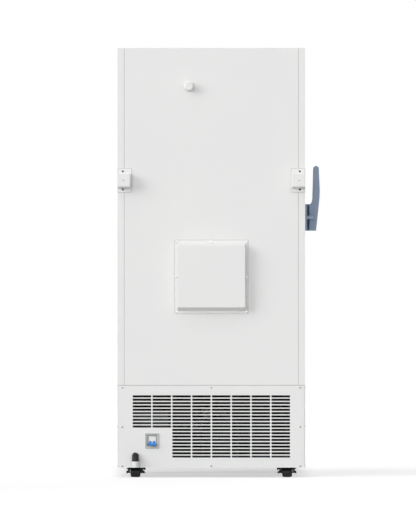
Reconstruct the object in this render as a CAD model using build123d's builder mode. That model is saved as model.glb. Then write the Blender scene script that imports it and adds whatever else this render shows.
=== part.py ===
from build123d import *
import os
from math import cos, radians, sin

# Lengths are in millimetres. +Z is up, the door faces -Y and the rear faces +Y.
# The origin is on the floor, below the middle of the cabinet.

# Cabinet outside
cabinet_width = 865
cabinet_depth = 868
cabinet_top = 1980
cabinet_base = 45
deck_height = 426
skin = 1.5
seam = 1.5
return_width = 30

# Insulation and storage room
side_wall = 130
rear_wall = 130
roof_wall = 120
floor_wall = 120
liner_sheet = 1.5
rim = 3
compartments = 4
tube_radius = 4.75
tube_loops = 6
liner_corner = 24
tube_margin = 90

# Shelves and inner doors
shelf_sheet = 2
shelf_lip = 20
pilaster_depth = 6
pilaster_width = 30
clip_depth = 10
inner_recess = 35
inner_door_thickness = 25
inner_door_side_gap = 6
inner_door_gap = 4
seal_depth = 6
seal_width = 14
seal_bar = 9
knuckle_radius = 5
knuckle_pin = 2.5
knuckle_length = 120
hinge_offset = 6
pull_depth = 9

# Outer door
door_thickness = 100
door_gap = 8
door_end_gap = 10
door_sheet = 1.5
plug_gap = 12
plug_reach = 20
plug_wall = 3
gasket_width = 30
hinge_inset = 16
hinge_setback = 50
hinge_pin = 8
hinge_plate = 6
hinge_pin_length = 30
hinge_foot = 5
running_gap = 0.06

# Door front fittings
display_width = 190
display_height = 130
display_depth = 4
display_centre = 1560
screen_margin = 14
lock_radius = 9
lock_inset = 45
lock_length = 30
lock_proud = 6

# Handle on the door's free edge
handle_bottom = 1141
handle_block_top = 1266
handle_tip = 1446
handle_base = 19
handle_groove = 9
handle_block_low = 62
handle_block_high = 75
handle_reach = 79
grip_inner = 44
grip_taper = 4
grip_tip_rise = 13
grip_root_rise = 32
grip_outer_rise = 70
handle_depth = 56
handle_round = 5
handle_pivot_offset = 23.5
handle_pin = 4
handle_knuckle = 7
handle_lug = 26
lug_notch = 4
cam_thickness = 16
strike_sheet = 4
strike_leg = 34

# Rear panel fittings
port_x = 103
port_drop = 177
port_tube = 17
port_bore = 14
port_flange = 25
port_flange_thickness = 3
plug_knob_base = 22
plug_knob_face = 18.3
plug_knob_length = 34
plug_stem = 60
cover_centre = 925
cover_width = 338
cover_height = 339
cover_box_width = 310
cover_box_height = 281
cover_box_slope = 16
cover_box_depth = 42
cover_screw_pitch = 161
exchanger_window = 240
spacer_centre = 1369.5
spacer_edge = 431
spacer_width = 63
spacer_height = 110
spacer_block = 57
spacer_slope = 8
spacer_reach = 52
spacer_sheet = 3
spacer_screw_x = 408
spacer_screw_pitch = 84
spacer_hole_x = 404.5
spacer_hole = 3.5

# Rear vent cover and its fittings
cover_edge = 4
flange_fold = 18
slot_width = 85.3
slot_height = 10
slot_pitch_x = 91.4
slot_pitch_z = 15.43
slot_columns = 8
slot_rows = 19
short_columns = 2
short_rows = 10
slot_top = 373.9
vent_screw_x = 410
vent_screw_pitch = 181
vent_screw_middle = 233
side_screw_pitch = 181
side_screw_middle = 237
side_screw_inset = 15
screw_head = 4.5
screw_head_height = 2.4
screw_shank = 2
screw_clearance = 0.3
breaker_x = 273
breaker_height = 168.5
bezel_width = 64
bezel_height = 70.5
bezel_proud = 3
breaker_width = 36
breaker_nose = 45
breaker_body_height = 60
breaker_depth = 62
toggle_drop = 8.5
toggle_radius = 8
toggle_width = 10
toggle_pitch = 17
toggle_reach = 22
toggle_bar = 9.2
toggle_angle = 19
elbow_x = 350
elbow_height = 100
elbow_radius = 15.5
elbow_neck = 2
elbow_bend = 18
elbow_collar = 7
cord_radius = 6
sleeve_radius = 16
sleeve_rib = 1.2
sleeve_ribs = 3

# Base, casters and feet
frame_sheet = 2
pan_height = 59
pan_sheet = 3
post_width = 40
post_depth = 30
rail_low = 47
rail_height = 48
deck_rail = 26
caster_x = 350
caster_inset_rear = 75
caster_inset_front = 140
caster_trail = 18
wheel_radius = 23.5
wheel_width = 46
wheel_round = 9
axle_radius = 4
hood_wall = 3
hood_gap = 1.5
hood_length = 40
hood_round = 14
cheek_depth = 18
wing_reach = 42
caster_plate = 80
caster_plate_thickness = 4
swivel_radius = 13
stem_radius = 6
foot_x = 330
foot_inset = 50
foot_pad = 22
foot_pad_height = 8
foot_rod = 6
foot_rod_top = 120
foot_nut = 14
foot_nut_height = 12

# Machine room
compressor_radius = 85
compressor_height = 200
compressor_y = 215
compressor_high_x = -265
compressor_low_x = -40
grommet_height = 12
condenser_width = 560
condenser_height = 290
condenser_depth = 50
condenser_inset = 60
condenser_fin_pitch = 14
condenser_fin_gap = 9
condenser_end = 8
condenser_rows = 7
condenser_row_pitch = 40
fan_radius = 92
fan_gap = 4
fan_height = 225
fan_count = 5
fan_shaft = 4
hub_radius = 28
blade_chord = 48
blade_pitch = 25
shroud_depth = 60
shroud_sheet = 1.5
bracket_sheet = 3
motor_radius = 38
motor_length = 55
separator_radius = 34
separator_height = 190
separator_x = 355
separator_y = -200
drier_radius = 22
drier_height = 150
drier_offset = 80
control_left = 200
control_right = 410
control_top = 300
control_depth = 150
pipe_radius = 5
pipe_bend = 22
grille_depth = 22
grille_sheet = 1.5
grille_slot_length = 180
grille_slot_height = 9
grille_column_pitch = 200
grille_slot_pitch = 22
grille_rows = 13
grille_columns = 4
grille_gap = 4
grille_pin = 2
grille_pin_setback = 16
grille_ear = 6
filter_thickness = 10

half_width = cabinet_width / 2
front = -cabinet_depth / 2
rear = cabinet_depth / 2
room_side = half_width - side_wall
room_back = rear - rear_wall
room_floor = deck_height + floor_wall
room_roof = cabinet_top - roof_wall
room_pitch = (room_roof - room_floor) / compartments
frame_rear = rear - skin
port_height = cabinet_top - port_drop
inner_front = front + inner_recess
inner_back = inner_front + inner_door_thickness
shelf_front = inner_back + seal_depth
door_back = front - door_gap
door_front = door_back - door_thickness
door_low = deck_height + door_end_gap
door_high = cabinet_top - door_end_gap
door_axis_x = half_width - hinge_inset
door_axis_y = door_back - hinge_setback
plug_side = room_side - plug_gap
plug_low = room_floor + plug_gap
plug_high = room_roof - plug_gap
plug_back = front + plug_reach
handle_y = door_back - door_thickness / 2 - handle_depth / 2
handle_axis_x = -half_width - handle_pivot_offset
handle_middle = (handle_bottom + handle_block_top) / 2
shelf_levels = [room_floor + k * room_pitch for k in range(1, compartments)]
breaker_face = rear - 4
toggle_axis_y = breaker_face - 3
toggle_height = breaker_height - toggle_drop
pan_top = pan_height + pan_sheet
caster_plate_low = pan_height - caster_plate_thickness
flange_screws = [(x, z) for x in (-1, 0, 1) for z in (-1, 0, 1) if (x, z) != (0, 0)]


def block(x, y, z, mode=Mode.ADD):
    # A box from the low and high limit along each axis.
    with Locations((x[0], y[0], z[0])):
        Box(x[1] - x[0], y[1] - y[0], z[1] - z[0], align=(Align.MIN,) * 3, mode=mode)


def rod_y(x, y, z, radius, mode=Mode.ADD):
    # A round bar or hole along Y, from y[0] to y[1].
    with Locations(Location((x, y[0], z), (-90, 0, 0))):
        Cylinder(radius, y[1] - y[0], align=(Align.CENTER, Align.CENTER, Align.MIN), mode=mode)


def rod_z(x, y, z, radius, mode=Mode.ADD):
    # A round bar or hole along Z, from z[0] to z[1].
    with Locations((x, y, z[0])):
        Cylinder(radius, z[1] - z[0], align=(Align.CENTER, Align.CENTER, Align.MIN), mode=mode)


def rod_x(x, y, z, radius, mode=Mode.ADD):
    # A round bar or hole along X, from x[0] to x[1].
    with Locations(Location((x[0], y, z), (0, 90, 0))):
        Cylinder(radius, x[1] - x[0], align=(Align.CENTER, Align.CENTER, Align.MIN), mode=mode)


def tapered(base, top, y):
    # A solid from one rectangle to another along Y, each given by two limits in X and two in Z.
    with BuildPart() as solid:
        for place, (x0, x1, z0, z1) in zip(y, (base, top)):
            with BuildSketch(Plane.XZ.offset(-place)):
                with Locations(((x0 + x1) / 2, (z0 + z1) / 2)):
                    Rectangle(abs(x1 - x0), z1 - z0)
        loft()
    return solid.part


# Outer skins of the insulated cabinet
with BuildPart() as side_panel_right:
    block((half_width - skin, half_width), (front, rear), (deck_height, cabinet_top))
    block((half_width - return_width, half_width - skin), (frame_rear, rear), (deck_height, cabinet_top))
    for z in (-1, 1):
        rod_y(spacer_screw_x, (frame_rear, rear), spacer_centre + z * spacer_screw_pitch / 2,
              screw_shank + screw_clearance, Mode.SUBTRACT)

with BuildPart() as side_panel_left:
    mirror(side_panel_right.part, about=Plane.YZ)

with BuildPart() as top_panel:
    block((skin - half_width, half_width - skin), (front, frame_rear), (cabinet_top - skin, cabinet_top))

with BuildPart() as rear_panel:
    rear_half = half_width - return_width - seam
    block((-rear_half, rear_half), (frame_rear, rear), (deck_height, cabinet_top))
    rod_y(port_x, (frame_rear, rear), port_height, port_tube + screw_clearance, Mode.SUBTRACT)
    block((-exchanger_window / 2, exchanger_window / 2), (frame_rear, rear),
          (cover_centre - exchanger_window / 2, cover_centre + exchanger_window / 2), Mode.SUBTRACT)
    for x, z in flange_screws:
        rod_y(x * cover_screw_pitch, (frame_rear, rear), cover_centre + z * cover_screw_pitch,
              screw_shank + screw_clearance, Mode.SUBTRACT)

# Foam between the skins and the liner, with a thin layer left for the evaporator tube
layer = 2 * (tube_radius + screw_clearance)
layer_low = room_floor + tube_margin - layer
layer_high = room_roof - tube_margin + layer
pocket_depth = rear_wall - liner_sheet - 2 * layer - 30


def room_form(grow, start, z):
    # The storage room grown by a margin, with the rounded rear corners of the liner.
    with BuildPart() as form:
        with BuildSketch(Plane.XY.offset(z[0])):
            with Locations((0, (start + room_back + grow) / 2)):
                Rectangle(2 * (room_side + grow), room_back + grow - start)
            fillet(vertices().group_by(Axis.Y)[-1], liner_corner + grow)
        extrude(amount=z[1] - z[0])
    return form.part


room_inside = room_form(0, front + rim, (room_floor, room_roof))
room_outside = room_form(liner_sheet, front + rim, (room_floor - liner_sheet, room_roof + liner_sheet))
tube_layer = room_form(liner_sheet + layer, front + tube_margin - layer, (layer_low, layer_high))
with BuildPart() as cabinet_foam:
    block((skin - half_width, half_width - skin), (front + rim, frame_rear),
          (deck_height + skin, cabinet_top - skin))
    add(room_outside, mode=Mode.SUBTRACT)
    add(tube_layer, mode=Mode.SUBTRACT)
    block((-exchanger_window / 2, exchanger_window / 2), (frame_rear - pocket_depth, frame_rear),
          (cover_centre - exchanger_window / 2, cover_centre + exchanger_window / 2), Mode.SUBTRACT)
    rod_y(port_x, (room_back, frame_rear), port_height, port_tube + screw_clearance, Mode.SUBTRACT)

with BuildPart() as front_trim:
    block((skin - half_width, half_width - skin), (front, front + rim),
          (deck_height + skin, cabinet_top - skin))
    block((-room_side, room_side), (front, front + rim), (room_floor, room_roof), Mode.SUBTRACT)

# Steel liner, its shelf pilasters with clips, and the pinned lugs of the inner doors
inner_axis_x = room_side - inner_door_side_gap
inner_axis_y = inner_front - hinge_offset
pilaster_rows = (inner_back + 70, room_back - 90)
compartment_lows = [room_floor + k * room_pitch for k in range(compartments)]
with BuildPart() as inner_liner:
    add(room_outside)
    add(room_inside, mode=Mode.SUBTRACT)
    rod_y(port_x, (room_back, room_back + liner_sheet), port_height, port_tube + screw_clearance,
          Mode.SUBTRACT)
    for side in (-1, 1):
        inner_face = side * (room_side - pilaster_depth)
        clip_face = side * (room_side - pilaster_depth - clip_depth)
        for y in pilaster_rows:
            across = (y, y + pilaster_width)
            block(sorted((inner_face, side * room_side)), across, (room_floor + 20, room_roof - 20))
            for level in shelf_levels:
                block(sorted((clip_face, inner_face)), across,
                      (level - shelf_lip / 2 - clip_depth, level - shelf_lip / 2))
    for low in compartment_lows:
        middle = low + room_pitch / 2
        for end in (-1, 1):
            lug = sorted((middle + end * (knuckle_length / 2 + 0.5), middle + end * (knuckle_length / 2 + 12)))
            block((inner_axis_x - 4, room_side), (inner_axis_y - 4, inner_axis_y + 4), lug)
            pin = sorted((middle + end * (knuckle_length / 2 - 20), middle + end * (knuckle_length / 2 + 12)))
            rod_z(inner_axis_x, inner_axis_y, pin, knuckle_pin)

# Evaporator tube, wound to and fro round the liner
tube_x = room_side + liner_sheet + layer / 2
tube_y = room_back + liner_sheet + layer / 2
tube_front = front + tube_margin
tube_step = (room_roof - room_floor - 2 * tube_margin) / (tube_loops - 1)
tube_points = []
for loop in range(tube_loops):
    level = room_floor + tube_margin + loop * tube_step
    turn = 1 if loop % 2 == 0 else -1
    tube_points += [(-turn * tube_x, tube_front, level), (-turn * tube_x, tube_y, level),
                    (turn * tube_x, tube_y, level), (turn * tube_x, tube_front, level)]
with BuildPart() as evaporator_tube:
    with BuildLine() as tube_path:
        FilletPolyline(*tube_points, radius=liner_corner + liner_sheet + layer / 2)
    with BuildSketch(Plane(origin=tube_points[0], z_dir=(0, 1, 0))):
        Circle(tube_radius)
        Circle(tube_radius - 1, mode=Mode.SUBTRACT)
    sweep(path=tube_path.line)

# Shelves with folded lips
shelf_side = room_side - pilaster_depth - 2
shelf_rear = room_back - 2
with BuildPart() as shelves:
    for level in shelf_levels:
        low, high = level - shelf_lip / 2, level + shelf_lip / 2
        for inset, top, mode in ((0, high, Mode.ADD), (shelf_sheet, high - shelf_sheet, Mode.SUBTRACT)):
            with BuildSketch(Plane.XY.offset(low)):
                with Locations((0, (shelf_front + shelf_rear) / 2)):
                    Rectangle(2 * (shelf_side - inset), shelf_rear - shelf_front - 2 * inset)
                fillet(vertices().group_by(Axis.Y)[-1], liner_corner - inset)
            extrude(amount=top - low, mode=mode)

# Seals of the inner doors, on the liner's sides and the shelf lips
with BuildPart() as inner_door_seals:
    for k, low in enumerate(compartment_lows):
        seal_low = low + (1 if k else 0)
        seal_high = low + room_pitch - (1 if k < compartments - 1 else 0)
        block((-room_side, room_side), (inner_back, shelf_front), (seal_low, seal_high))
        block((seal_width - room_side, room_side - seal_width), (inner_back, shelf_front),
              (seal_low + seal_bar, seal_high - seal_bar), Mode.SUBTRACT)


def inner_door(low):
    # A flat insulated door with its hinge knuckle and a bar pull.
    half = inner_axis_x
    middle = low + room_pitch / 2
    knuckle = (middle - knuckle_length / 2, middle + knuckle_length / 2)
    with BuildPart() as door:
        block((-half, half), (inner_front, inner_back),
              (low + inner_door_gap / 2, low + room_pitch - inner_door_gap / 2))
        fillet(door.edges().filter_by(Axis.X).group_by(Axis.Y)[0], 3)
        block((half - 30, half), (inner_front - 3, inner_front), knuckle)
        rod_z(inner_axis_x, inner_axis_y, knuckle, knuckle_radius)
        rod_z(inner_axis_x, inner_axis_y, knuckle, knuckle_pin + running_gap, Mode.SUBTRACT)
        block((20 - half, 46 - half), (inner_front - pull_depth, inner_front), (middle - 45, middle + 45))
        block((26 - half, 46 - half), (inner_front - pull_depth + 3, inner_front),
              (middle - 39, middle + 39), Mode.SUBTRACT)
    return door.part


# Outer door: steel pan, foam, moulded inner face with its plug, and gasket
with BuildPart() as door_shell:
    block((-half_width, half_width), (door_front, door_back), (door_low, door_high))
    fillet(door_shell.edges().filter_by(Axis.Z).group_by(Axis.Y)[0], 6)
    block((door_sheet - half_width, half_width - door_sheet), (door_front + door_sheet, door_back),
          (door_low + door_sheet, door_high - door_sheet), Mode.SUBTRACT)
    rod_z(door_axis_x, door_axis_y, (door_low, door_high), hinge_pin + running_gap, Mode.SUBTRACT)
    rod_y(lock_inset - half_width, (door_front, door_front + door_sheet), handle_middle,
          lock_radius + running_gap, Mode.SUBTRACT)

foam_side = half_width - door_sheet
foam_front = door_front + door_sheet
with BuildPart() as door_liner:
    block((-foam_side, foam_side), (door_back - plug_wall, door_back),
          (door_low + door_sheet, door_high - door_sheet))
    block((-plug_side, plug_side), (door_back, plug_back), (plug_low, plug_high))
    fillet(door_liner.edges().filter_by(Axis.Z).group_by(Axis.Y)[-1], 8)
    block((plug_wall - plug_side, plug_side - plug_wall), (door_back - plug_wall, plug_back - plug_wall),
          (plug_low + plug_wall, plug_high - plug_wall), Mode.SUBTRACT)

pin_pocket = hinge_pin_length + 8
with BuildPart() as door_foam:
    block((-foam_side, foam_side), (foam_front, door_back - plug_wall),
          (door_low + door_sheet, door_high - door_sheet))
    fillet(door_foam.edges().filter_by(Axis.Z).group_by(Axis.Y)[0], 8)
    block((plug_wall - plug_side, plug_side - plug_wall), (door_back - plug_wall, plug_back - plug_wall),
          (plug_low + plug_wall, plug_high - plug_wall))
    for z in ((door_low, door_low + pin_pocket), (door_high - pin_pocket, door_high)):
        rod_z(door_axis_x, door_axis_y, z, hinge_pin + 1, Mode.SUBTRACT)
    rod_y(lock_inset - half_width, (foam_front, foam_front + lock_length), handle_middle,
          lock_radius + 1, Mode.SUBTRACT)

gasket_side = plug_side + gasket_width + 8
with BuildPart() as door_gasket:
    block((-gasket_side, gasket_side), (door_back, front),
          (plug_low - gasket_width - 8, plug_high + gasket_width + 8))
    block((-plug_side - 8, plug_side + 8), (door_back, front), (plug_low - 8, plug_high + 8), Mode.SUBTRACT)

# Pivot hinge brackets above and below the door
hinge_low = door_low - 2 - hinge_plate
hinge_top = door_high + 2
with BuildPart() as hinge_brackets:
    for arm, foot, pin in (
        ((hinge_low, hinge_low + hinge_plate), (hinge_low, hinge_low + 60),
         (hinge_low, door_low + hinge_pin_length)),
        ((hinge_top, hinge_top + hinge_plate), (hinge_top + hinge_plate - 60, hinge_top + hinge_plate),
         (door_high - hinge_pin_length, hinge_top + hinge_plate)),
    ):
        block((door_axis_x - 50, half_width - 2), (door_axis_y - hinge_inset, front), arm)
        block((door_axis_x - 50, half_width - 2), (front - hinge_foot, front), foot)
        rod_z(door_axis_x, door_axis_y, pin, hinge_pin)

with BuildPart() as display_panel:
    block((-display_width / 2, display_width / 2), (door_front - display_depth, door_front),
          (display_centre - display_height / 2, display_centre + display_height / 2))
    fillet(display_panel.edges().filter_by(Axis.Y), 12)
    block((screen_margin - display_width / 2, display_width / 2 - screen_margin),
          (door_front - display_depth, door_front - display_depth + 1),
          (display_centre - display_height / 2 + screen_margin,
           display_centre + display_height / 2 - screen_margin), Mode.SUBTRACT)

with BuildPart() as lock_barrel:
    rod_y(lock_inset - half_width, (door_front - lock_proud, foam_front + lock_length - 3), handle_middle,
          lock_radius)
    block((lock_inset - half_width - 1.2, lock_inset - half_width + 1.2),
          (door_front - lock_proud, door_front - lock_proud + 3), (handle_middle - 5, handle_middle + 5),
          Mode.SUBTRACT)

# Handle base on the door's edge, with two lugs and the pivot pin
lug_low = (handle_bottom, handle_bottom + handle_lug)
lug_high = (handle_block_top - handle_lug, handle_block_top)
with BuildPart() as handle_mount:
    block((-half_width - handle_base, -half_width), (handle_y - 10, handle_y + handle_depth - 1),
          (handle_bottom, handle_block_top))
    fillet(handle_mount.edges().filter_by(Axis.Z).group_by(Axis.X)[0], 3)
    block((-half_width - handle_base, handle_axis_x + handle_knuckle + 1),
          (handle_y - handle_knuckle - 1, handle_y + handle_knuckle + 1),
          (lug_low[1], lug_high[0]), Mode.SUBTRACT)
    for lug in (lug_low, lug_high):
        rod_z(handle_axis_x, handle_y, lug, handle_knuckle - 1)
        block((handle_axis_x, -half_width), (handle_y - handle_knuckle + 1, handle_y + handle_knuckle - 1), lug)
    rod_z(handle_axis_x, handle_y, (handle_bottom, handle_block_top), handle_pin)


def out(u):
    # A place measured outwards from the door's free edge.
    return -half_width - u


# Lever: a block beside the pivot that rises into an open, upright grip
block_face = handle_base + handle_groove
grip_middle = (handle_reach + grip_inner) / 2
block_top_corner = (out(handle_block_high), handle_block_top)
block_inner_corner = (out(block_face + 6), handle_block_top)
grip_bulge = (out(handle_reach), handle_block_top + grip_outer_rise)
grip_root = (out(grip_inner), handle_block_top + grip_root_rise)
grip_tip_outer = (out(handle_reach - grip_taper), handle_tip - grip_tip_rise)
grip_tip_inner = (out(grip_inner + grip_taper), handle_tip - grip_tip_rise)
knuckle_y = (handle_y - handle_knuckle, handle_y + handle_knuckle)
knuckle_z = (lug_low[1] + 1, lug_high[0] - 1)
with BuildPart() as handle_lever:
    with BuildSketch(Plane.XZ.offset(-handle_y)):
        with BuildLine():
            Polyline(block_inner_corner, (out(block_face), handle_block_top), (out(block_face), handle_bottom),
                     (out(handle_block_low), handle_bottom), block_top_corner)
            Spline(block_top_corner, grip_bulge, tangents=[(-0.13, 1), (0, 1)])
            Line(grip_bulge, grip_tip_outer)
            ThreePointArc(grip_tip_outer, (out(grip_middle), handle_tip), grip_tip_inner)
            Line(grip_tip_inner, grip_root)
            Spline(grip_root, block_inner_corner, tangents=[(0, -1), (0.7, -0.7)])
        make_face()
    extrude(amount=-handle_depth)
    lever_front, lever_back = handle_lever.faces().sort_by(Axis.Y)[0], handle_lever.faces().sort_by(Axis.Y)[-1]
    past_notch = lever_front.edges().filter_by(lambda e: e.center().X < out(block_face + handle_knuckle))
    fillet(lever_back.edges() + past_notch, handle_round)
    for notch in ((handle_bottom - 1, knuckle_z[0]), (knuckle_z[1], handle_block_top + 1)):
        block((out(block_face + lug_notch), out(0)), knuckle_y, notch, Mode.SUBTRACT)
    rod_z(handle_axis_x, handle_y, knuckle_z, handle_knuckle)
    block((out(block_face + 2 * lug_notch), handle_axis_x), knuckle_y, knuckle_z)
    rod_z(handle_axis_x, handle_y, knuckle_z, handle_pin + running_gap, Mode.SUBTRACT)

# Push-off cam on the lever's rear face, round about the pivot, and the strike that it bears on
cam_reach = front - handle_y - 0.5
cam_low = handle_middle - cam_thickness / 2
lever_rear = handle_y + handle_depth
with BuildPart() as latch_cam:
    rod_z(handle_axis_x, handle_y, (cam_low, cam_low + cam_thickness), cam_reach)
    block((out(block_face + 22), out(handle_base / 2)), (lever_rear, front),
          (cam_low, cam_low + cam_thickness), Mode.INTERSECT)

with BuildPart() as latch_strike:
    block((out(handle_base), out(0)), (front, front + strike_sheet), (handle_bottom, handle_block_top))
    block((out(strike_sheet), out(0)), (front + strike_sheet, front + strike_leg),
          (handle_bottom, handle_block_top))
    fillet(latch_strike.edges().filter_by(Axis.X).group_by(Axis.Y)[-1], 8)

# Test port: a flanged tube through the rear wall, and its stopper
with BuildPart() as test_port_sleeve:
    rod_y(port_x, (room_back - port_flange_thickness, rear + port_flange_thickness), port_height, port_tube)
    rod_y(port_x, (room_back - port_flange_thickness, room_back), port_height, port_flange)
    rod_y(port_x, (rear, rear + port_flange_thickness), port_height, port_flange)
    rod_y(port_x, (room_back - port_flange_thickness, rear + port_flange_thickness), port_height,
          port_bore, Mode.SUBTRACT)

port_face = rear + port_flange_thickness
with BuildPart() as test_port_plug:
    with BuildSketch(Plane.XY.offset(port_height)):
        with BuildLine():
            Polyline((port_x, port_face + plug_knob_length), (port_x, port_face - plug_stem),
                     (port_x + port_bore - 2, port_face - plug_stem), (port_x + port_bore - 0.3, port_face - 4),
                     (port_x + port_bore - 0.3, port_face), (port_x + plug_knob_base, port_face),
                     (port_x + plug_knob_base, port_face + 3),
                     (port_x + plug_knob_face, port_face + plug_knob_length), close=True)
        make_face()
    revolve(axis=Axis((port_x, 0, port_height), (0, 1, 0)))
    fillet(test_port_plug.edges().filter_by(GeomType.CIRCLE).group_by(Axis.Y)[-1], 4)

# Service cover over the heat exchanger: a flat flange with a raised box
with BuildPart() as service_cover:
    with BuildSketch(Plane.XZ.offset(-rear)):
        with Locations((0, cover_centre)):
            Rectangle(cover_width, cover_height)
    extrude(amount=-skin)
    for inset, reach, mode in ((0, cover_box_depth, Mode.ADD), (skin, cover_box_depth - skin, Mode.SUBTRACT)):
        across = cover_box_width / 2 - inset
        up = cover_box_height / 2 - inset
        add(tapered((-across, across, cover_centre - up - cover_box_slope, cover_centre + up + cover_box_slope),
                    (-across, across, cover_centre - up, cover_centre + up), (rear, rear + reach)), mode=mode)
    for x, z in flange_screws:
        rod_y(x * cover_screw_pitch, (rear, rear + skin), cover_centre + z * cover_screw_pitch,
              screw_shank + screw_clearance, Mode.SUBTRACT)

# Cascade heat exchanger in its foam pocket: a ribbed plate pack with four stubs
exchanger_back = frame_rear - pocket_depth
with BuildPart() as heat_exchanger:
    block((-55, 55), (exchanger_back, exchanger_back + 50), (cover_centre - 105, cover_centre + 105))
    for k in range(9):
        block((-60, 60), (exchanger_back + 3 + k * 5, exchanger_back + 5.5 + k * 5),
              (cover_centre - 110, cover_centre + 110))
    for x in (-32, 32):
        for z in (-80, 80):
            rod_y(x, (exchanger_back + 50, exchanger_back + 66), cover_centre + z, pipe_radius + 1)

# Wall spacers that hold the cabinet off the wall
spacer_out = rear + spacer_reach
spacer_tab = rear + spacer_sheet
block_low = spacer_centre - spacer_block / 2
block_high = spacer_centre + spacer_block / 2


def wall_spacer(side):
    # A screwed plate with a raised hollow block, sloped at its lower and inner sides.
    edge = side * spacer_edge
    inner = edge - side * spacer_width
    with BuildPart() as spacer:
        block(sorted((edge, inner)), (rear, spacer_tab),
              (spacer_centre - spacer_height / 2, spacer_centre + spacer_height / 2))
        fillet(spacer.edges().filter_by(Axis.Y), 4)
        add(tapered((edge, inner, block_low - spacer_slope, block_high + 1),
                    (edge, inner + side * spacer_slope, block_low, block_high), (rear, spacer_out)))
        wall = side * spacer_sheet
        add(tapered((edge - wall, inner + wall, block_low - spacer_slope + spacer_sheet,
                     block_high + 1 - spacer_sheet),
                    (edge - wall, inner + side * spacer_slope + wall, block_low + spacer_sheet,
                     block_high - spacer_sheet), (rear, spacer_out - spacer_sheet)), mode=Mode.SUBTRACT)
        for z in (-1, 1):
            rod_y(side * spacer_screw_x, (rear, spacer_tab), spacer_centre + z * spacer_screw_pitch / 2,
                  screw_shank + screw_clearance, Mode.SUBTRACT)
        rod_y(side * spacer_hole_x, (spacer_out - spacer_sheet, spacer_out), spacer_centre, spacer_hole,
              Mode.SUBTRACT)
    return spacer.part


with BuildPart() as wall_spacers:
    add(wall_spacer(-1))
    add(wall_spacer(1))

# Rear vent cover: folded tray with slots, the breaker window and the cord hole
vent_half = half_width - cover_edge
vent_low = cabinet_base + 0.5
vent_high = deck_height - seam
vent_screws = [(x * vent_screw_x, vent_screw_middle + z * vent_screw_pitch) for x, z in flange_screws]
slot_left = slot_pitch_x * (slot_columns - 1) / 2
with BuildPart() as rear_vent_cover:
    block((-vent_half, vent_half), (frame_rear, rear), (vent_low, vent_high))
    for side in (-1, 1):
        block(sorted((side * vent_half, side * (vent_half - skin))), (rear - flange_fold, frame_rear),
              (vent_low, vent_high))
    with BuildSketch(Plane.XZ.offset(-rear)):
        for column in range(slot_columns):
            rows = short_rows if column >= slot_columns - short_columns else slot_rows
            x = column * slot_pitch_x - slot_left
            with Locations(*[(x, slot_top - row * slot_pitch_z) for row in range(rows)]):
                RectangleRounded(slot_width, slot_height, 2)
        with Locations((breaker_x, breaker_height)):
            Rectangle(bezel_width - 8, bezel_height - 8)
        with Locations((elbow_x, elbow_height)):
            Circle(elbow_radius - 2)
        with Locations(*vent_screws):
            Circle(screw_shank + screw_clearance)
    extrude(amount=skin, mode=Mode.SUBTRACT)

grille_axis_y = front - grille_pin_setback
grille_axis_z = cabinet_base + grille_pin + 2
with BuildPart() as lower_side_panels:
    for side in (-1, 1):
        outer, inner = side * half_width, side * (half_width - skin)
        block(sorted((outer, inner)), (front, frame_rear), (cabinet_base, vent_high))
        block(sorted((outer, inner)), (grille_axis_y - grille_ear, front),
              (cabinet_base, grille_axis_z + grille_ear))
        rod_x(sorted((outer, inner)), grille_axis_y, grille_axis_z, grille_pin + running_gap, Mode.SUBTRACT)
        block(sorted((inner, side * (half_width - 12))), (front, frame_rear - flange_fold),
              (cabinet_base, cabinet_base + skin))
        for y in (front + side_screw_inset, frame_rear - side_screw_inset):
            for z in (-1, 0, 1):
                rod_x(sorted((outer, inner)), y, side_screw_middle + z * side_screw_pitch,
                      screw_shank + screw_clearance, Mode.SUBTRACT)

# Base frame: pan, rails, corner posts, deck plate, caster plates and foot nuts
post_outer = vent_half - skin - 0.5
post_inner = post_outer - post_width
rail_half = post_inner
rear_casters = frame_rear - caster_inset_rear
front_casters = front + caster_inset_front
foot_y = front + foot_inset
with BuildPart() as base_frame:
    block((skin - half_width, half_width - skin), (front + grille_gap * 2, frame_rear - flange_fold - 1),
          (pan_height, pan_top))
    block((-rail_half, rail_half), (frame_rear - frame_sheet, frame_rear), (rail_low, rail_low + rail_height))
    block((-rail_half, rail_half), (frame_rear - flange_fold - 1, frame_rear - frame_sheet),
          (pan_height, pan_top))
    block((skin - half_width, half_width - skin), (front, frame_rear), (deck_height, deck_height + skin))
    block((-rail_half, rail_half), (frame_rear - frame_sheet, frame_rear),
          (deck_height - deck_rail, deck_height))
    block((-rail_half, rail_half), (front, front + frame_sheet), (deck_height - deck_rail, deck_height))
    for side in (-1, 1):
        for y, inward in ((frame_rear, -1), (front + grille_gap * 2, 1)):
            web = sorted((y, y + inward * frame_sheet))
            depth = sorted((y + inward * frame_sheet, y + inward * post_depth))
            block(sorted((side * post_inner, side * post_outer)), web, (pan_top, deck_height))
            block(sorted((side * (post_outer - frame_sheet), side * post_outer)), depth, (pan_top, deck_height))
        for y in (rear_casters, front_casters):
            block((side * caster_x - caster_plate / 2, side * caster_x + caster_plate / 2),
                  (y - caster_plate / 2, y + caster_plate / 2), (caster_plate_low, pan_height))
            rod_z(side * caster_x, y, (caster_plate_low, pan_height), stem_radius + 0.1, Mode.SUBTRACT)
        rod_z(side * foot_x, foot_y, (pan_top, pan_top + foot_nut_height), foot_nut)
        rod_z(side * foot_x, foot_y, (pan_height, pan_top + foot_nut_height), foot_rod + 0.1, Mode.SUBTRACT)
    for x, z in vent_screws:
        rod_y(x, (frame_rear - frame_sheet, frame_rear), z, screw_shank + screw_clearance, Mode.SUBTRACT)
    rod_y(elbow_x, (frame_rear - frame_sheet, frame_rear), elbow_height, elbow_radius, Mode.SUBTRACT)


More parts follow.
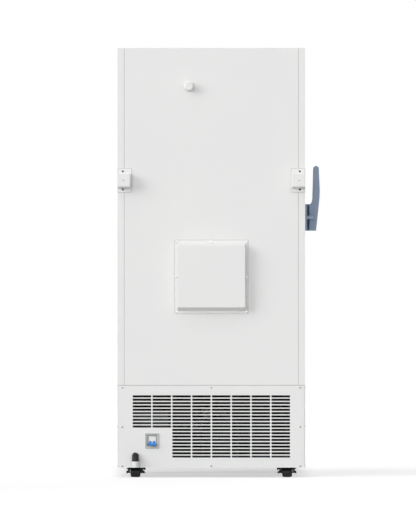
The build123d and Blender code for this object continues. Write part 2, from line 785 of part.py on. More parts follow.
def screw(x, y, z, turn, grip):
    # A pan-head screw whose head stands on the panel and whose shank fills the sheets.
    with Locations(Location((x, y, z), turn)):
        Cylinder(screw_head, screw_head_height, align=(Align.CENTER, Align.CENTER, Align.MIN))
        Cylinder(screw_shank, grip, align=(Align.CENTER, Align.CENTER, Align.MAX))


to_rear, to_right, to_left = (-90, 0, 0), (0, 90, 0), (0, -90, 0)
with BuildPart() as panel_screws:
    for x, z in vent_screws:
        screw(x, rear, z, to_rear, skin + frame_sheet)
    for x, z in flange_screws:
        screw(x * cover_screw_pitch, rear + skin, cover_centre + z * cover_screw_pitch, to_rear, 2 * skin)
    for side, turn in ((-1, to_left), (1, to_right)):
        for z in (-1, 1):
            screw(side * spacer_screw_x, spacer_tab, spacer_centre + z * spacer_screw_pitch / 2, to_rear,
                  spacer_sheet + skin)
        for y in (front + side_screw_inset, frame_rear - side_screw_inset):
            for z in (-1, 0, 1):
                screw(side * half_width, y, side_screw_middle + z * side_screw_pitch, turn, skin)
    fillet(panel_screws.edges().filter_by(GeomType.CIRCLE).filter_by(lambda e: e.radius > screw_head - 0.1)
           .filter_by(lambda e: abs(e.center().Y - rear - screw_head_height) < 0.01), 1)

# Breaker: bezel with a sloped recess, two-pole body and twin toggle
with BuildPart() as breaker_bezel:
    with BuildSketch(Plane.XZ.offset(-rear)):
        with Locations((breaker_x, breaker_height)):
            RectangleRounded(bezel_width, bezel_height, 3)
    extrude(amount=-bezel_proud)
    with BuildSketch(Plane.XZ.offset(-rear - bezel_proud)):
        with Locations((breaker_x, breaker_height)):
            Rectangle(bezel_width - 8, bezel_height - 8)
    with BuildSketch(Plane.XZ.offset(-rear)):
        with Locations((breaker_x, breaker_height)):
            Rectangle(breaker_width + 4, breaker_nose + 4)
    loft(mode=Mode.SUBTRACT)

toggle_slots = [breaker_x + side * toggle_pitch / 2 for side in (-1, 1)]
with BuildPart() as breaker_body:
    block((breaker_x - breaker_width / 2, breaker_x + breaker_width / 2),
          (rear - breaker_depth, breaker_face),
          (breaker_height - breaker_nose / 2, breaker_height + breaker_nose / 2))
    block((breaker_x - breaker_width / 2, breaker_x + breaker_width / 2),
          (rear - breaker_depth, rear - 16),
          (breaker_height - breaker_body_height / 2, breaker_height + breaker_body_height / 2))
    for x in toggle_slots:
        rod_x((x - toggle_width / 2 - 0.3, x + toggle_width / 2 + 0.3), toggle_axis_y, toggle_height,
              toggle_radius + 0.4, Mode.SUBTRACT)

toggle_down = radians(toggle_angle)
arm_end = (toggle_axis_y + toggle_reach * cos(toggle_down), toggle_height - toggle_reach * sin(toggle_down))
with BuildPart() as breaker_toggle:
    for x in toggle_slots:
        rod_x((x - toggle_width / 2, x + toggle_width / 2), toggle_axis_y, toggle_height, toggle_radius)
        with Locations(Location((x, toggle_axis_y, toggle_height), (-toggle_angle, 0, 0))):
            Box(toggle_width, toggle_reach, 5, align=(Align.CENTER, Align.MIN, Align.CENTER))
    rod_x((breaker_x - breaker_width / 2, breaker_x + breaker_width / 2), arm_end[0], arm_end[1],
          toggle_bar / 2)

# Cord elbow that turns the mains inlet down, and the ribbed sleeve below it
elbow_start = rear + elbow_neck
elbow_out = elbow_start + elbow_bend
elbow_low = elbow_height - elbow_bend - elbow_collar
with BuildPart() as cord_elbow:
    with BuildSketch(Plane(origin=(elbow_x, elbow_start, elbow_height), x_dir=(1, 0, 0), z_dir=(0, 1, 0))):
        Circle(elbow_radius)
    revolve(axis=Axis((elbow_x, elbow_start, elbow_height - elbow_bend), (-1, 0, 0)), revolution_arc=90)
    rod_y(elbow_x, (rear, elbow_start), elbow_height, elbow_radius - 0.5)
    rod_z(elbow_x, elbow_out, (elbow_low, elbow_height - elbow_bend), elbow_radius + 1)
    rod_y(elbow_x, (frame_rear - frame_sheet - 8, rear), elbow_height, elbow_radius - 2.5)

sleeve_low = rail_low
with BuildPart() as conduit_sleeve:
    rod_z(elbow_x, elbow_out, (sleeve_low, elbow_low), sleeve_radius - sleeve_rib)
    rib_step = (elbow_low - sleeve_low) / sleeve_ribs
    for k in range(sleeve_ribs):
        rod_z(elbow_x, elbow_out, (sleeve_low + k * rib_step, sleeve_low + (k + 0.55) * rib_step),
              sleeve_radius)
    rod_z(elbow_x, elbow_out, (sleeve_low, elbow_low), cord_radius, Mode.SUBTRACT)

# Casters: swivelling forks with flared cheeks, and broad wheels
axle_height = wheel_radius
hood_inner = wheel_width / 2 + hood_gap
hood_top = axle_height + wheel_radius + hood_gap + hood_wall


def caster_fork(x, y):
    wheel_y = y + caster_trail
    with BuildPart() as fork:
        with BuildSketch(Plane.XZ.offset(-wheel_y + hood_length / 2)):
            with Locations((x, (axle_height + hood_top) / 2 + 3)):
                Rectangle(2 * (hood_inner + hood_wall), hood_top - axle_height - 6)
            fillet(vertices().group_by(Axis.Y)[-1], hood_round + hood_wall)
        extrude(amount=-hood_length)
        with BuildSketch(Plane.XZ.offset(-wheel_y + hood_length / 2)):
            with Locations((x, (axle_height + hood_top - hood_wall) / 2)):
                Rectangle(2 * hood_inner, hood_top - hood_wall - axle_height)
            fillet(vertices().group_by(Axis.Y)[-1], hood_round)
        extrude(amount=-hood_length, mode=Mode.SUBTRACT)
        for side in (-1, 1):
            near, far = side * (hood_inner + 1), side * wing_reach
            with BuildSketch(Plane.XZ.offset(-wheel_y + cheek_depth / 2)):
                with BuildLine():
                    Polyline((x + near, axle_height + 13), (x + far, axle_height + 5), (x + far, axle_height - 6),
                             (x + far - side * 4, axle_height - 6), (x + near, axle_height + 7), close=True)
                make_face()
            extrude(amount=-cheek_depth)
            block(sorted((x + near, x + far)), (wheel_y - cheek_depth / 2, wheel_y + cheek_depth / 2),
                  (axle_height + 15, axle_height + 19))
        rod_x((x - wing_reach + 1, x + wing_reach - 1), wheel_y, axle_height, axle_radius)
        block((x - swivel_radius, x + swivel_radius), (y - swivel_radius, wheel_y + hood_length / 2),
              (hood_top - 1, hood_top + 1))
        rod_z(x, y, (hood_top + 1, caster_plate_low), swivel_radius)
        rod_z(x, y, (hood_top + 1, pan_height - 0.5), stem_radius)
    return fork.part


def caster_wheel(x, y):
    with BuildPart() as wheel:
        rod_x((x - wheel_width / 2, x + wheel_width / 2), y + caster_trail, axle_height, wheel_radius)
        fillet(wheel.edges().filter_by(GeomType.CIRCLE), wheel_round)
        rod_x((x - wheel_width / 2, x + wheel_width / 2), y + caster_trail, axle_height,
              axle_radius + running_gap, Mode.SUBTRACT)
    return wheel.part


def levelling_foot(side):
    with BuildPart() as foot:
        rod_z(side * foot_x, foot_y, (0, foot_pad_height), foot_pad)
        fillet(foot.edges().group_by(Axis.Z)[-1], 3)
        rod_z(side * foot_x, foot_y, (foot_pad_height, foot_rod_top), foot_rod)
        rod_z(side * foot_x, foot_y, (foot_pad_height, foot_pad_height + 10), foot_rod + 5)
    return foot.part


# Machine room: compressors on rubber-mounted feet
with BuildPart() as compressors:
    for x in (compressor_high_x, compressor_low_x):
        foot_low = pan_top + grommet_height
        block((x - 100, x + 100), (compressor_y - 75, compressor_y + 75), (foot_low, foot_low + 3))
        shell = (foot_low + 3, foot_low + 3 + compressor_height)
        rod_z(x, compressor_y, shell, compressor_radius)
    fillet(compressors.edges().filter_by(GeomType.CIRCLE).group_by(Axis.Z)[-1], 40)

with BuildPart() as compressor_mounts:
    for x in (compressor_high_x, compressor_low_x):
        for dx in (-82, 82):
            for dy in (-60, 60):
                rod_z(x + dx, compressor_y + dy, (pan_top, pan_top + grommet_height), 11)

condenser_front = front + condenser_inset
condenser_back = condenser_front + condenser_depth
condenser_middle = condenser_front + condenser_depth / 2
condenser_top = pan_top + condenser_height
with BuildPart() as condenser:
    block((-condenser_width / 2, condenser_width / 2), (condenser_front, condenser_back),
          (pan_top, condenser_top))
    with BuildSketch(Plane.XY.offset(pan_top + condenser_end)):
        with Locations((0, condenser_middle)):
            with GridLocations(condenser_fin_pitch, 0, int(condenser_width / condenser_fin_pitch) - 2, 1):
                Rectangle(condenser_fin_gap, condenser_depth)
    extrude(amount=condenser_height - 2 * condenser_end, mode=Mode.SUBTRACT)
    for row in range(condenser_rows):
        rod_x((-condenser_width / 2, condenser_width / 2), condenser_middle,
              pan_top + 26 + row * condenser_row_pitch, pipe_radius)

shroud_back = condenser_back + shroud_depth
bracket_x = (-12, 12)
bracket_y = (shroud_back + 40, shroud_back + 40 + bracket_sheet)
motor_seat = fan_height - motor_radius + 2
with BuildPart() as fan_shroud:
    block((-condenser_width / 2, condenser_width / 2), (condenser_back, shroud_back), (pan_top, condenser_top))
    block((shroud_sheet - condenser_width / 2, condenser_width / 2 - shroud_sheet),
          (condenser_back, shroud_back - shroud_sheet), (pan_top + shroud_sheet, condenser_top - shroud_sheet),
          Mode.SUBTRACT)
    rod_y(0, (shroud_back - shroud_sheet, shroud_back), fan_height, fan_radius + fan_gap, Mode.SUBTRACT)
    block(bracket_x, (shroud_back, shroud_back + bracket_sheet), (pan_top, pan_top + 60))
    block(bracket_x, bracket_y, (pan_top, motor_seat))
    block(bracket_x, (shroud_back + bracket_sheet, bracket_y[0]), (pan_top, pan_top + bracket_sheet))

motor_front = shroud_back + 15
with BuildPart() as fan_motor:
    rod_y(0, (motor_front, motor_front + motor_length), fan_height, motor_radius)
    block(bracket_x, bracket_y, (fan_height - motor_radius - 1, motor_seat), Mode.SUBTRACT)
    rod_y(0, (shroud_back - 12, motor_front), fan_height, fan_shaft)

hub_y = (shroud_back - 18, shroud_back + 10)
with BuildPart() as fan_blades:
    rod_y(0, hub_y, fan_height, hub_radius)
    rod_y(0, hub_y, fan_height, fan_shaft + running_gap, Mode.SUBTRACT)
    with Locations(Location((0, sum(hub_y) / 2, fan_height), (90, 0, 0))):
        with PolarLocations(0, fan_count):
            with Locations(Location((hub_radius - 2, 0, 0), (blade_pitch, 0, 0))):
                Box(fan_radius - hub_radius, blade_chord, 2, align=(Align.MIN, Align.CENTER, Align.CENTER))

with BuildPart() as oil_separator:
    rod_z(separator_x, separator_y, (pan_top, pan_top + separator_height), separator_radius)
    fillet(oil_separator.edges().filter_by(GeomType.CIRCLE).group_by(Axis.Z)[-1], 14)
    rod_z(separator_x - drier_offset, separator_y, (pan_top, pan_top + drier_height), drier_radius)
    fillet(oil_separator.edges().filter_by(GeomType.CIRCLE)
           .filter_by(lambda e: abs(e.center().Z - pan_top - drier_height) < 0.01), 10)

control_back = frame_rear - 75
with BuildPart() as control_box:
    block((control_left, control_right), (control_back - control_depth, control_back), (pan_top, control_top))
    fillet(control_box.edges().filter_by(Axis.Z), 4)
    block((breaker_x - 24, breaker_x + 24), (control_back, rear - breaker_depth),
          (breaker_height - 34, breaker_height + 34))


def pipe(points, bend):
    # A copper line through the given corners.
    start, after = Vector(points[0]), Vector(points[1])
    with BuildPart() as tube:
        with BuildLine() as path:
            FilletPolyline(*points, radius=bend)
        with BuildSketch(Plane(origin=start, z_dir=after - start)):
            Circle(pipe_radius)
        sweep(path=path.line)
    return tube.part


compressor_top = pan_top + grommet_height + 3 + compressor_height
pipe_level = compressor_top + 35
upper_level = pipe_level + 20
inlet_level = pan_top + 60
side_run_x = -condenser_width / 2 - 50
with BuildPart() as refrigerant_pipes:
    add(pipe([(compressor_high_x, compressor_y, compressor_top), (compressor_high_x, compressor_y, pipe_level),
              (side_run_x, compressor_y, pipe_level), (side_run_x, condenser_middle, pipe_level),
              (side_run_x, condenser_middle, inlet_level),
              (-condenser_width / 2, condenser_middle, inlet_level)], pipe_bend))
    add(pipe([(compressor_low_x, compressor_y, compressor_top), (compressor_low_x, compressor_y, upper_level),
              (compressor_low_x, separator_y, upper_level), (separator_x, separator_y, upper_level),
              (separator_x, separator_y, pan_top + separator_height)], pipe_bend))

# Front grille, hinged at its lower edge, with the air filter clipped inside
grille_low = cabinet_base + 2
grille_high = vent_high - grille_gap
grille_half = half_width - 3
grille_front = front - grille_depth
with BuildPart() as front_grille:
    block((-grille_half, grille_half), (grille_front, front - 0.5), (grille_low, grille_high))
    fillet(front_grille.edges().filter_by(Axis.Z).group_by(Axis.Y)[0], 5)
    block((grille_sheet - grille_half, grille_half - grille_sheet), (grille_front + grille_sheet, front - 0.5),
          (grille_low + grille_sheet, grille_high - grille_sheet), Mode.SUBTRACT)
    grille_middle = (grille_low + grille_high) / 2
    with BuildSketch(Plane.XZ.offset(-grille_front)):
        with Locations((0, grille_middle)):
            with GridLocations(grille_column_pitch, grille_slot_pitch, grille_columns, grille_rows):
                SlotOverall(grille_slot_length, grille_slot_height)
    extrude(amount=-grille_sheet, mode=Mode.SUBTRACT)
    for side in (-1, 1):
        rod_x(sorted((side * (grille_half - grille_sheet), side * half_width)), grille_axis_y, grille_axis_z,
              grille_pin)

with BuildPart() as air_filter:
    block((grille_sheet - grille_half, grille_half - grille_sheet),
          (front - 2 - filter_thickness, front - 2), (grille_low + grille_sheet, grille_high - grille_sheet))

corners = {
    "rear_left": (-caster_x, rear_casters),
    "rear_right": (caster_x, rear_casters),
    "front_left": (-caster_x, front_casters),
    "front_right": (caster_x, front_casters),
}
pieces = {
    "side_panel_left": side_panel_left.part,
    "side_panel_right": side_panel_right.part,
    "top_panel": top_panel.part,
    "rear_panel": rear_panel.part,
    "cabinet_foam": cabinet_foam.part,
    "front_trim": front_trim.part,
    "inner_liner": inner_liner.part,
    "evaporator_tube": evaporator_tube.part,
    "shelves": shelves.part,
    "inner_door_seals": inner_door_seals.part,
    "heat_exchanger": heat_exchanger.part,
    "service_cover": service_cover.part,
    "panel_screws": panel_screws.part,
    "wall_spacers": wall_spacers.part,
    "test_port_sleeve": test_port_sleeve.part,
    "test_port_plug": test_port_plug.part,
    "rear_vent_cover": rear_vent_cover.part,
    "lower_side_panels": lower_side_panels.part,
    "base_frame": base_frame.part,
    "breaker_bezel": breaker_bezel.part,
    "breaker_body": breaker_body.part,
    "breaker_toggle": breaker_toggle.part,
    "cord_elbow": cord_elbow.part,
    "conduit_sleeve": conduit_sleeve.part,
    "compressors": compressors.part,
    "compressor_mounts": compressor_mounts.part,
    "condenser": condenser.part,
    "fan_shroud": fan_shroud.part,
    "fan_motor": fan_motor.part,
    "fan_blades": fan_blades.part,
    "oil_separator": oil_separator.part,
    "refrigerant_pipes": refrigerant_pipes.part,
    "control_box": control_box.part,
    "hinge_brackets": hinge_brackets.part,
    "latch_strike": latch_strike.part,
    "door_shell": door_shell.part,
    "door_foam": door_foam.part,
    "door_liner": door_liner.part,
    "door_gasket": door_gasket.part,
    "display_panel": display_panel.part,
    "lock_barrel": lock_barrel.part,
    "handle_base": handle_mount.part,
    "handle_lever": handle_lever.part,
    "latch_cam": latch_cam.part,
    "front_grille": front_grille.part,
    "air_filter": air_filter.part,
    "levelling_foot_left": levelling_foot(-1),
    "levelling_foot_right": levelling_foot(1),
}
for number, low in enumerate(compartment_lows, start=1):
    pieces[f"inner_door_{number}"] = inner_door(low)
for corner, (x, y) in corners.items():
    pieces[f"caster_fork_{corner}"] = caster_fork(x, y)
    pieces[f"caster_wheel_{corner}"] = caster_wheel(x, y)

os.makedirs("parts", exist_ok=True)
for name, piece in pieces.items():
    piece.label = name
    export_step(piece, f"parts/{name}.step")
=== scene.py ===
from math import cos, pi, radians, sin

import bmesh
import bpy
from mathutils import Matrix, Vector


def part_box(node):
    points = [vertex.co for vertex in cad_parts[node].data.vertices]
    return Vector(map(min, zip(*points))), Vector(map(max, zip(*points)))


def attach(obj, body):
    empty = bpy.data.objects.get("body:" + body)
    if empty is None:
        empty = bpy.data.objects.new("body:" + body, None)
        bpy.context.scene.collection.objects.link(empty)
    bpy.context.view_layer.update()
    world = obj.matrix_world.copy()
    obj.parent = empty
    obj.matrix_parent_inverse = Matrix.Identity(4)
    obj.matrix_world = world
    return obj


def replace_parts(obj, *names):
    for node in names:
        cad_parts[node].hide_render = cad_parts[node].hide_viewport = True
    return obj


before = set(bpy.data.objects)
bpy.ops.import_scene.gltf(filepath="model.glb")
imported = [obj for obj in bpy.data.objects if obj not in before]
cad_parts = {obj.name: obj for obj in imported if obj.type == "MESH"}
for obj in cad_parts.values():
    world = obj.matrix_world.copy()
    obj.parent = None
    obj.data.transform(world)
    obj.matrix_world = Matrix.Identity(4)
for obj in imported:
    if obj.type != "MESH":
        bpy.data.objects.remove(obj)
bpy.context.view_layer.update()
print("frame loaded:", len(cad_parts), "nodes")

cameraSettings = {"place": (0.0154, 40.434, 1.0027), "lens": 600.7, "sensor": 36.0, "farClip": 200.0}

# every lamp is a wide soft source: direction towards it, light level and softness in degrees
lampSettings = {
    "keyFromUpperLeft": {"towards": (0.78, 0.50, 0.37), "level": 0.46, "softness": 36},
    "frontalKey": {"towards": (0.28, 0.93, 0.24), "level": 0.14, "softness": 9},
    "rearFromRight": {"towards": (-0.42, 0.88, 0.20), "level": 0.15, "softness": 35},
    "topLight": {"towards": (0.27, 0.33, 0.90), "level": 0.11, "softness": 18},
    "sideLight": {"towards": (0.93, 0.35, 0.10), "level": 0.11, "softness": 30},
    "frontFill": {"towards": (-0.25, -0.95, 0.17), "level": 0.53, "softness": 60},
}
lampDistance = 6.0
worldSettings = {"fill": 0.43, "seen": 1.0}

# the floor's glow drops to shadedGlow in a patch before the door, a painted soft shadow, which fades between
# these places:
# to each side of the middle, towards the rear, and towards the front
floorSettings = {
    "halfWidth": 20.0, "colour": (0.50, 0.50, 0.50, 1), "glow": 0.57, "shadedGlow": 0.30,
    "shadeSide": (0.36, 0.50), "shadeBack": (-0.50, -0.38), "shadeFront": (-2.1, -1.3),
}
plainWhite = (1, 1, 1, 1)


def linearColour(red, green, blue):
    # a colour as read off a screen, 0 to 255, turned into the shader's linear values
    def channel(value):
        value /= 255
        return value / 12.92 if value <= 0.04045 else ((value + 0.055) / 1.055) ** 2.4

    return (channel(red), channel(green), channel(blue), 1)


def addNode(tree, kind, values=None, **settings):
    node = tree.nodes.new(kind)
    for name, value in settings.items():
        setattr(node, name, value)
    for name, value in (values or {}).items():
        node.inputs[name].default_value = value
    return node


def combine(tree, operation, *sources):
    # a Math node fed by sockets or plain numbers
    node = addNode(tree, "ShaderNodeMath", operation=operation)
    for place, source in zip(node.inputs, sources):
        if isinstance(source, bpy.types.NodeSocket):
            tree.links.new(source, place)
        else:
            place.default_value = source
    return node.outputs[0]


def spread(tree, source, low, high, fromLow=0.3, fromHigh=0.7, curve="LINEAR"):
    # the source's range turned into another, and held at its ends
    reach = addNode(tree, "ShaderNodeMapRange", {
        "From Min": fromLow, "From Max": fromHigh, "To Min": low, "To Max": high}, interpolation_type=curve)
    tree.links.new(source, reach.inputs["Value"])
    return reach.outputs[0]


def placeAxes(tree, place):
    axes = addNode(tree, "ShaderNodeSeparateXYZ")
    tree.links.new(place, axes.inputs[0])
    return axes.outputs


def startMaterial(name):
    material = bpy.data.materials.new(name)
    material.use_nodes = True
    tree = material.node_tree
    tree.nodes.clear()
    output = addNode(tree, "ShaderNodeOutputMaterial")
    place = addNode(tree, "ShaderNodeTexCoord")
    return material, tree, output.inputs["Surface"], place.outputs["Object"]


def makeCamera(settings):
    cameraData = bpy.data.cameras.new("photoCamera")
    cameraData.sensor_width = settings["sensor"]
    cameraData.lens = settings["lens"]
    cameraData.clip_end = settings["farClip"]
    camera = bpy.data.objects.new("photoCamera", cameraData)
    camera.location = settings["place"]
    camera.rotation_euler = (radians(90), 0, radians(180))
    bpy.context.scene.collection.objects.link(camera)
    bpy.context.scene.camera = camera


def makeLamps(settings):
    for name, look in settings.items():
        lampData = bpy.data.lights.new(name, "SUN")
        lampData.energy = look["level"] * pi  # a white surface that faces the lamp then shows the level
        lampData.angle = radians(look["softness"])
        lamp = bpy.data.objects.new(name, lampData)
        lamp.rotation_mode = "QUATERNION"
        lamp.rotation_quaternion = Vector(look["towards"]).to_track_quat("Z", "Y")
        lamp.location = Vector(look["towards"]) * lampDistance
        bpy.context.scene.collection.objects.link(lamp)


def seenRays(tree):
    # 1 for the rays that show the backdrop: straight to the camera, in gloss and through glass
    rays = addNode(tree, "ShaderNodeLightPath").outputs
    gloss = combine(tree, "MAXIMUM", rays["Is Glossy Ray"], rays["Is Transmission Ray"])
    return combine(tree, "MAXIMUM", rays["Is Camera Ray"], gloss)


def makeWorld(settings):
    world = bpy.data.worlds.new("studioWorld")
    bpy.context.scene.world = world
    world.use_nodes = True
    tree = world.node_tree
    tree.nodes.clear()
    output = addNode(tree, "ShaderNodeOutputWorld")
    mix = addNode(tree, "ShaderNodeMixShader")
    tree.links.new(seenRays(tree), mix.inputs[0])
    for place, key in ((1, "fill"), (2, "seen")):
        light = addNode(tree, "ShaderNodeBackground", {"Color": plainWhite, "Strength": settings[key]})
        tree.links.new(light.outputs[0], mix.inputs[place])
    tree.links.new(mix.outputs[0], output.inputs["Surface"])


def shadedGlow(tree, place, settings):
    # the floor's glow, weaker in a painted soft shadow that lies before the door
    axes = placeAxes(tree, place)
    across = combine(tree, "ABSOLUTE", axes["X"])
    side = spread(tree, across, 1, 0, *settings["shadeSide"], curve="SMOOTHSTEP")
    back = spread(tree, axes["Y"], 1, 0, *settings["shadeBack"], curve="SMOOTHSTEP")
    front = spread(tree, axes["Y"], 0, 1, *settings["shadeFront"], curve="SMOOTHSTEP")
    shade = combine(tree, "MULTIPLY", combine(tree, "MULTIPLY", side, back), front)
    return spread(tree, shade, settings["glow"], settings["shadedGlow"], 0, 1)


def makeFloor(settings):
    half = settings["halfWidth"]
    mesh = bpy.data.meshes.new("studioFloor")
    corners = [(-half, -half, 0), (half, -half, 0), (half, half, 0), (-half, half, 0)]
    mesh.from_pydata(corners, [], [(0, 1, 2, 3)])
    floor = bpy.data.objects.new("studioFloor", mesh)
    bpy.context.scene.collection.objects.link(floor)
    material, tree, surface, place = startMaterial("paleFloor")
    matt = addNode(tree, "ShaderNodeBsdfDiffuse", {"Color": settings["colour"]})
    glow = addNode(tree, "ShaderNodeEmission", {"Color": plainWhite})
    both = addNode(tree, "ShaderNodeAddShader")
    level = combine(tree, "MULTIPLY", seenRays(tree), shadedGlow(tree, place, settings))
    tree.links.new(level, glow.inputs["Strength"])
    tree.links.new(matt.outputs[0], both.inputs[0])
    tree.links.new(glow.outputs[0], both.inputs[1])
    tree.links.new(both.outputs[0], surface)
    mesh.materials.append(material)


makeCamera(cameraSettings)
makeLamps(lampSettings)
makeWorld(worldSettings)
makeFloor(floorSettings)
bpy.context.scene.view_settings.view_transform = "Standard"
print("camera, lamps and floor made")


def startFinish(name, look):
    # the shader, with what is the same all over the surface set straight on it
    material, tree, surface, place = startMaterial(name)
    shader = addNode(tree, "ShaderNodeBsdfPrincipled", {
        "Metallic": look.get("metallic", 0.0),
        "IOR": 1.45,
        "Specular IOR Level": look.get("specular", 0.5),
        "Coat Weight": look.get("coat", 0.0),
        "Coat Roughness": 0.08,
    })
    tree.links.new(shader.outputs["BSDF"], surface)
    return material, tree, shader, place


def noiseAt(tree, place, scale, detail, stretch=(1, 1, 1), roughness=0.5):
    mapping = addNode(tree, "ShaderNodeMapping", {"Scale": stretch})
    noise = addNode(tree, "ShaderNodeTexNoise", {"Scale": scale, "Detail": detail, "Roughness": roughness})
    tree.links.new(place, mapping.inputs["Vector"])
    tree.links.new(mapping.outputs[0], noise.inputs["Vector"])
    return noise.outputs["Fac"]


def cellsAt(tree, place, scale):
    # rounded cells, by their distance from the middle
    cells = addNode(tree, "ShaderNodeTexVoronoi", {"Scale": scale}, feature="SMOOTH_F1")
    tree.links.new(place, cells.inputs["Vector"])
    return cells.outputs["Distance"]


def tint(tree, factor, first, second):
    mix = addNode(tree, "ShaderNodeMix", data_type="RGBA")
    mix.inputs[6].default_value = first
    mix.inputs[7].default_value = second
    tree.links.new(factor, mix.inputs[0])
    return mix.outputs[2]


def coverSurface(tree, shader, look, factor, gloss):
    # the look's colour and its shade mixed by one source, and roughness from another
    colours = [linearColour(*look[key]) for key in ("colour", "shade")]
    tree.links.new(tint(tree, factor, *colours), shader.inputs["Base Color"])
    tree.links.new(gloss, shader.inputs["Roughness"])


def relief(tree, shader, height, depth, strength, below=None):
    # bump in metres, over another bump where one is given
    bump = addNode(tree, "ShaderNodeBump", {"Strength": strength, "Distance": depth})
    tree.links.new(height, bump.inputs["Height"])
    if below is not None:
        tree.links.new(below, bump.inputs["Normal"])
    tree.links.new(bump.outputs[0], shader.inputs["Normal"])
    return bump.outputs[0]


def grainedFinish(name, look):
    # broad drift in colour, finer drift in gloss, and a fine surface grain
    material, tree, shader, place = startFinish(name, look)
    drift = spread(tree, noiseAt(tree, place, look["driftScale"], detail=4), 0, 1)
    gloss = spread(tree, noiseAt(tree, place, scale=40, detail=3), *look["roughness"])
    coverSurface(tree, shader, look, drift, gloss)
    relief(tree, shader, noiseAt(tree, place, look["grain"], detail=2), look["depth"], strength=0.5)
    return material


def powderCoat(name, look):
    # textured paint: small rounded bumps over a finer haze
    material, tree, shader, place = startFinish(name, look)
    drift = spread(tree, noiseAt(tree, place, look["driftScale"], detail=5), 0, 1)
    gloss = spread(tree, noiseAt(tree, place, scale=25, detail=3), *look["roughness"])
    coverSurface(tree, shader, look, drift, gloss)
    bumps = relief(tree, shader, cellsAt(tree, place, look["grain"]), look["depth"], strength=0.35)
    haze = noiseAt(tree, place, look["grain"] * 2.7, detail=2)
    relief(tree, shader, haze, look["depth"] * 0.5, strength=0.3, below=bumps)
    return material


def brushedSheet(name, look):
    # rolled and brushed sheet: long streaks along one axis in colour, gloss and relief
    material, tree, shader, place = startFinish(name, look)
    streaks = noiseAt(tree, place, look["grain"], detail=4, stretch=look["stretch"], roughness=0.7)
    streakShade = spread(tree, streaks, 0, 1, fromLow=0.2, fromHigh=0.8)
    streakGloss = spread(tree, streaks, 0, 0.12, fromLow=0.2, fromHigh=0.8)
    drift = spread(tree, noiseAt(tree, place, scale=6, detail=3), *look["roughness"])
    coverSurface(tree, shader, look, streakShade, combine(tree, "ADD", streakGloss, drift))
    relief(tree, shader, streaks, look["depth"], strength=0.4)
    return material


def spangledZinc(name, look):
    # galvanised sheet: crystals with wavy edges that differ a little in shade and gloss
    material, tree, shader, place = startFinish(name, look)
    wobble = addNode(tree, "ShaderNodeMix", data_type="VECTOR")
    wobble.inputs[0].default_value = 0.03  # how far the edges wander
    noise = addNode(tree, "ShaderNodeTexNoise", {"Scale": 30, "Detail": 2})
    tree.links.new(place, noise.inputs["Vector"])
    tree.links.new(place, wobble.inputs[4])
    tree.links.new(noise.outputs["Color"], wobble.inputs[5])
    crystals = addNode(tree, "ShaderNodeTexVoronoi", {"Scale": look["grain"]})
    tree.links.new(wobble.outputs[1], crystals.inputs["Vector"])
    crystal = addNode(tree, "ShaderNodeSeparateColor")
    tree.links.new(crystals.outputs["Color"], crystal.inputs[0])
    gloss = spread(tree, crystal.outputs[1], *look["roughness"], fromLow=0, fromHigh=1)
    coverSurface(tree, shader, look, crystal.outputs[0], gloss)
    relief(tree, shader, crystals.outputs["Distance"], look["depth"], strength=0.2)
    return material


def rigidFoam(name, look):
    # cut foam: closed cells with darker pits and an uneven colour
    material, tree, shader, place = startFinish(name, look)
    drift = spread(tree, noiseAt(tree, place, scale=9, detail=6), 0, 1)
    gloss = spread(tree, noiseAt(tree, place, scale=60, detail=2), *look["roughness"])
    coverSurface(tree, shader, look, drift, gloss)
    cells = relief(tree, shader, cellsAt(tree, place, look["grain"]), look["depth"], strength=0.6)
    pits = noiseAt(tree, place, scale=120, detail=4)
    relief(tree, shader, pits, look["depth"] * 2, strength=0.4, below=cells)
    return material


def drawnTube(name, look):
    # bright copper with duller, browner patches
    material, tree, shader, place = startFinish(name, look)
    cloud = noiseAt(tree, place, scale=28, detail=5, roughness=0.65)
    patches = spread(tree, cloud, 0, 1, fromLow=0.42, fromHigh=0.68)
    gloss = spread(tree, patches, *look["roughness"], fromLow=0, fromHigh=1)
    coverSurface(tree, shader, look, patches, gloss)
    relief(tree, shader, noiseAt(tree, place, scale=400, detail=2), look["depth"], strength=0.3)
    return material


def threadedSteel(name, look):
    # plated steel whose upper, thin part carries a fine thread
    material, tree, shader, place = startFinish(name, look)
    drift = spread(tree, noiseAt(tree, place, scale=50, detail=3), 0, 1)
    gloss = spread(tree, drift, *look["roughness"], fromLow=0, fromHigh=1)
    coverSurface(tree, shader, look, drift, gloss)
    wave = addNode(tree, "ShaderNodeTexWave", {"Scale": look["grain"], "Distortion": 0.0},
                   bands_direction="Z")
    tree.links.new(place, wave.inputs["Vector"])
    above = combine(tree, "GREATER_THAN", placeAxes(tree, place)["Z"], look["threadStart"])
    thread = combine(tree, "MULTIPLY", wave.outputs["Fac"], above)
    relief(tree, shader, thread, look["depth"], strength=1)
    return material


# colours are as read off a screen, grain is the pattern's scale and depth its relief in metres
whitePaint = powderCoat("whitePowderCoat", {
    "colour": (230, 230, 229), "shade": (226, 227, 226), "driftScale": 2.2,
    "roughness": (0.40, 0.52), "grain": 620, "depth": 0.00012})
whitePlastic = grainedFinish("whiteMouldedPlastic", {
    "colour": (233, 233, 231), "shade": (226, 227, 225), "driftScale": 7,
    "roughness": (0.36, 0.48), "grain": 900, "depth": 0.00006})
stainless = brushedSheet("brushedStainless", {
    "colour": (214, 215, 217), "shade": (190, 192, 195), "metallic": 1.0,
    "roughness": (0.26, 0.34), "grain": 9, "stretch": (0.6, 18, 60), "depth": 0.00003})
creamFoam = rigidFoam("creamFoam", {
    "colour": (240, 228, 186), "shade": (226, 207, 154),
    "roughness": (0.80, 0.92), "grain": 700, "depth": 0.0004})
greySeal = grainedFinish("greySealRubber", {
    "colour": (112, 116, 120), "shade": (98, 102, 106), "driftScale": 12,
    "roughness": (0.62, 0.78), "grain": 700, "depth": 0.00008})
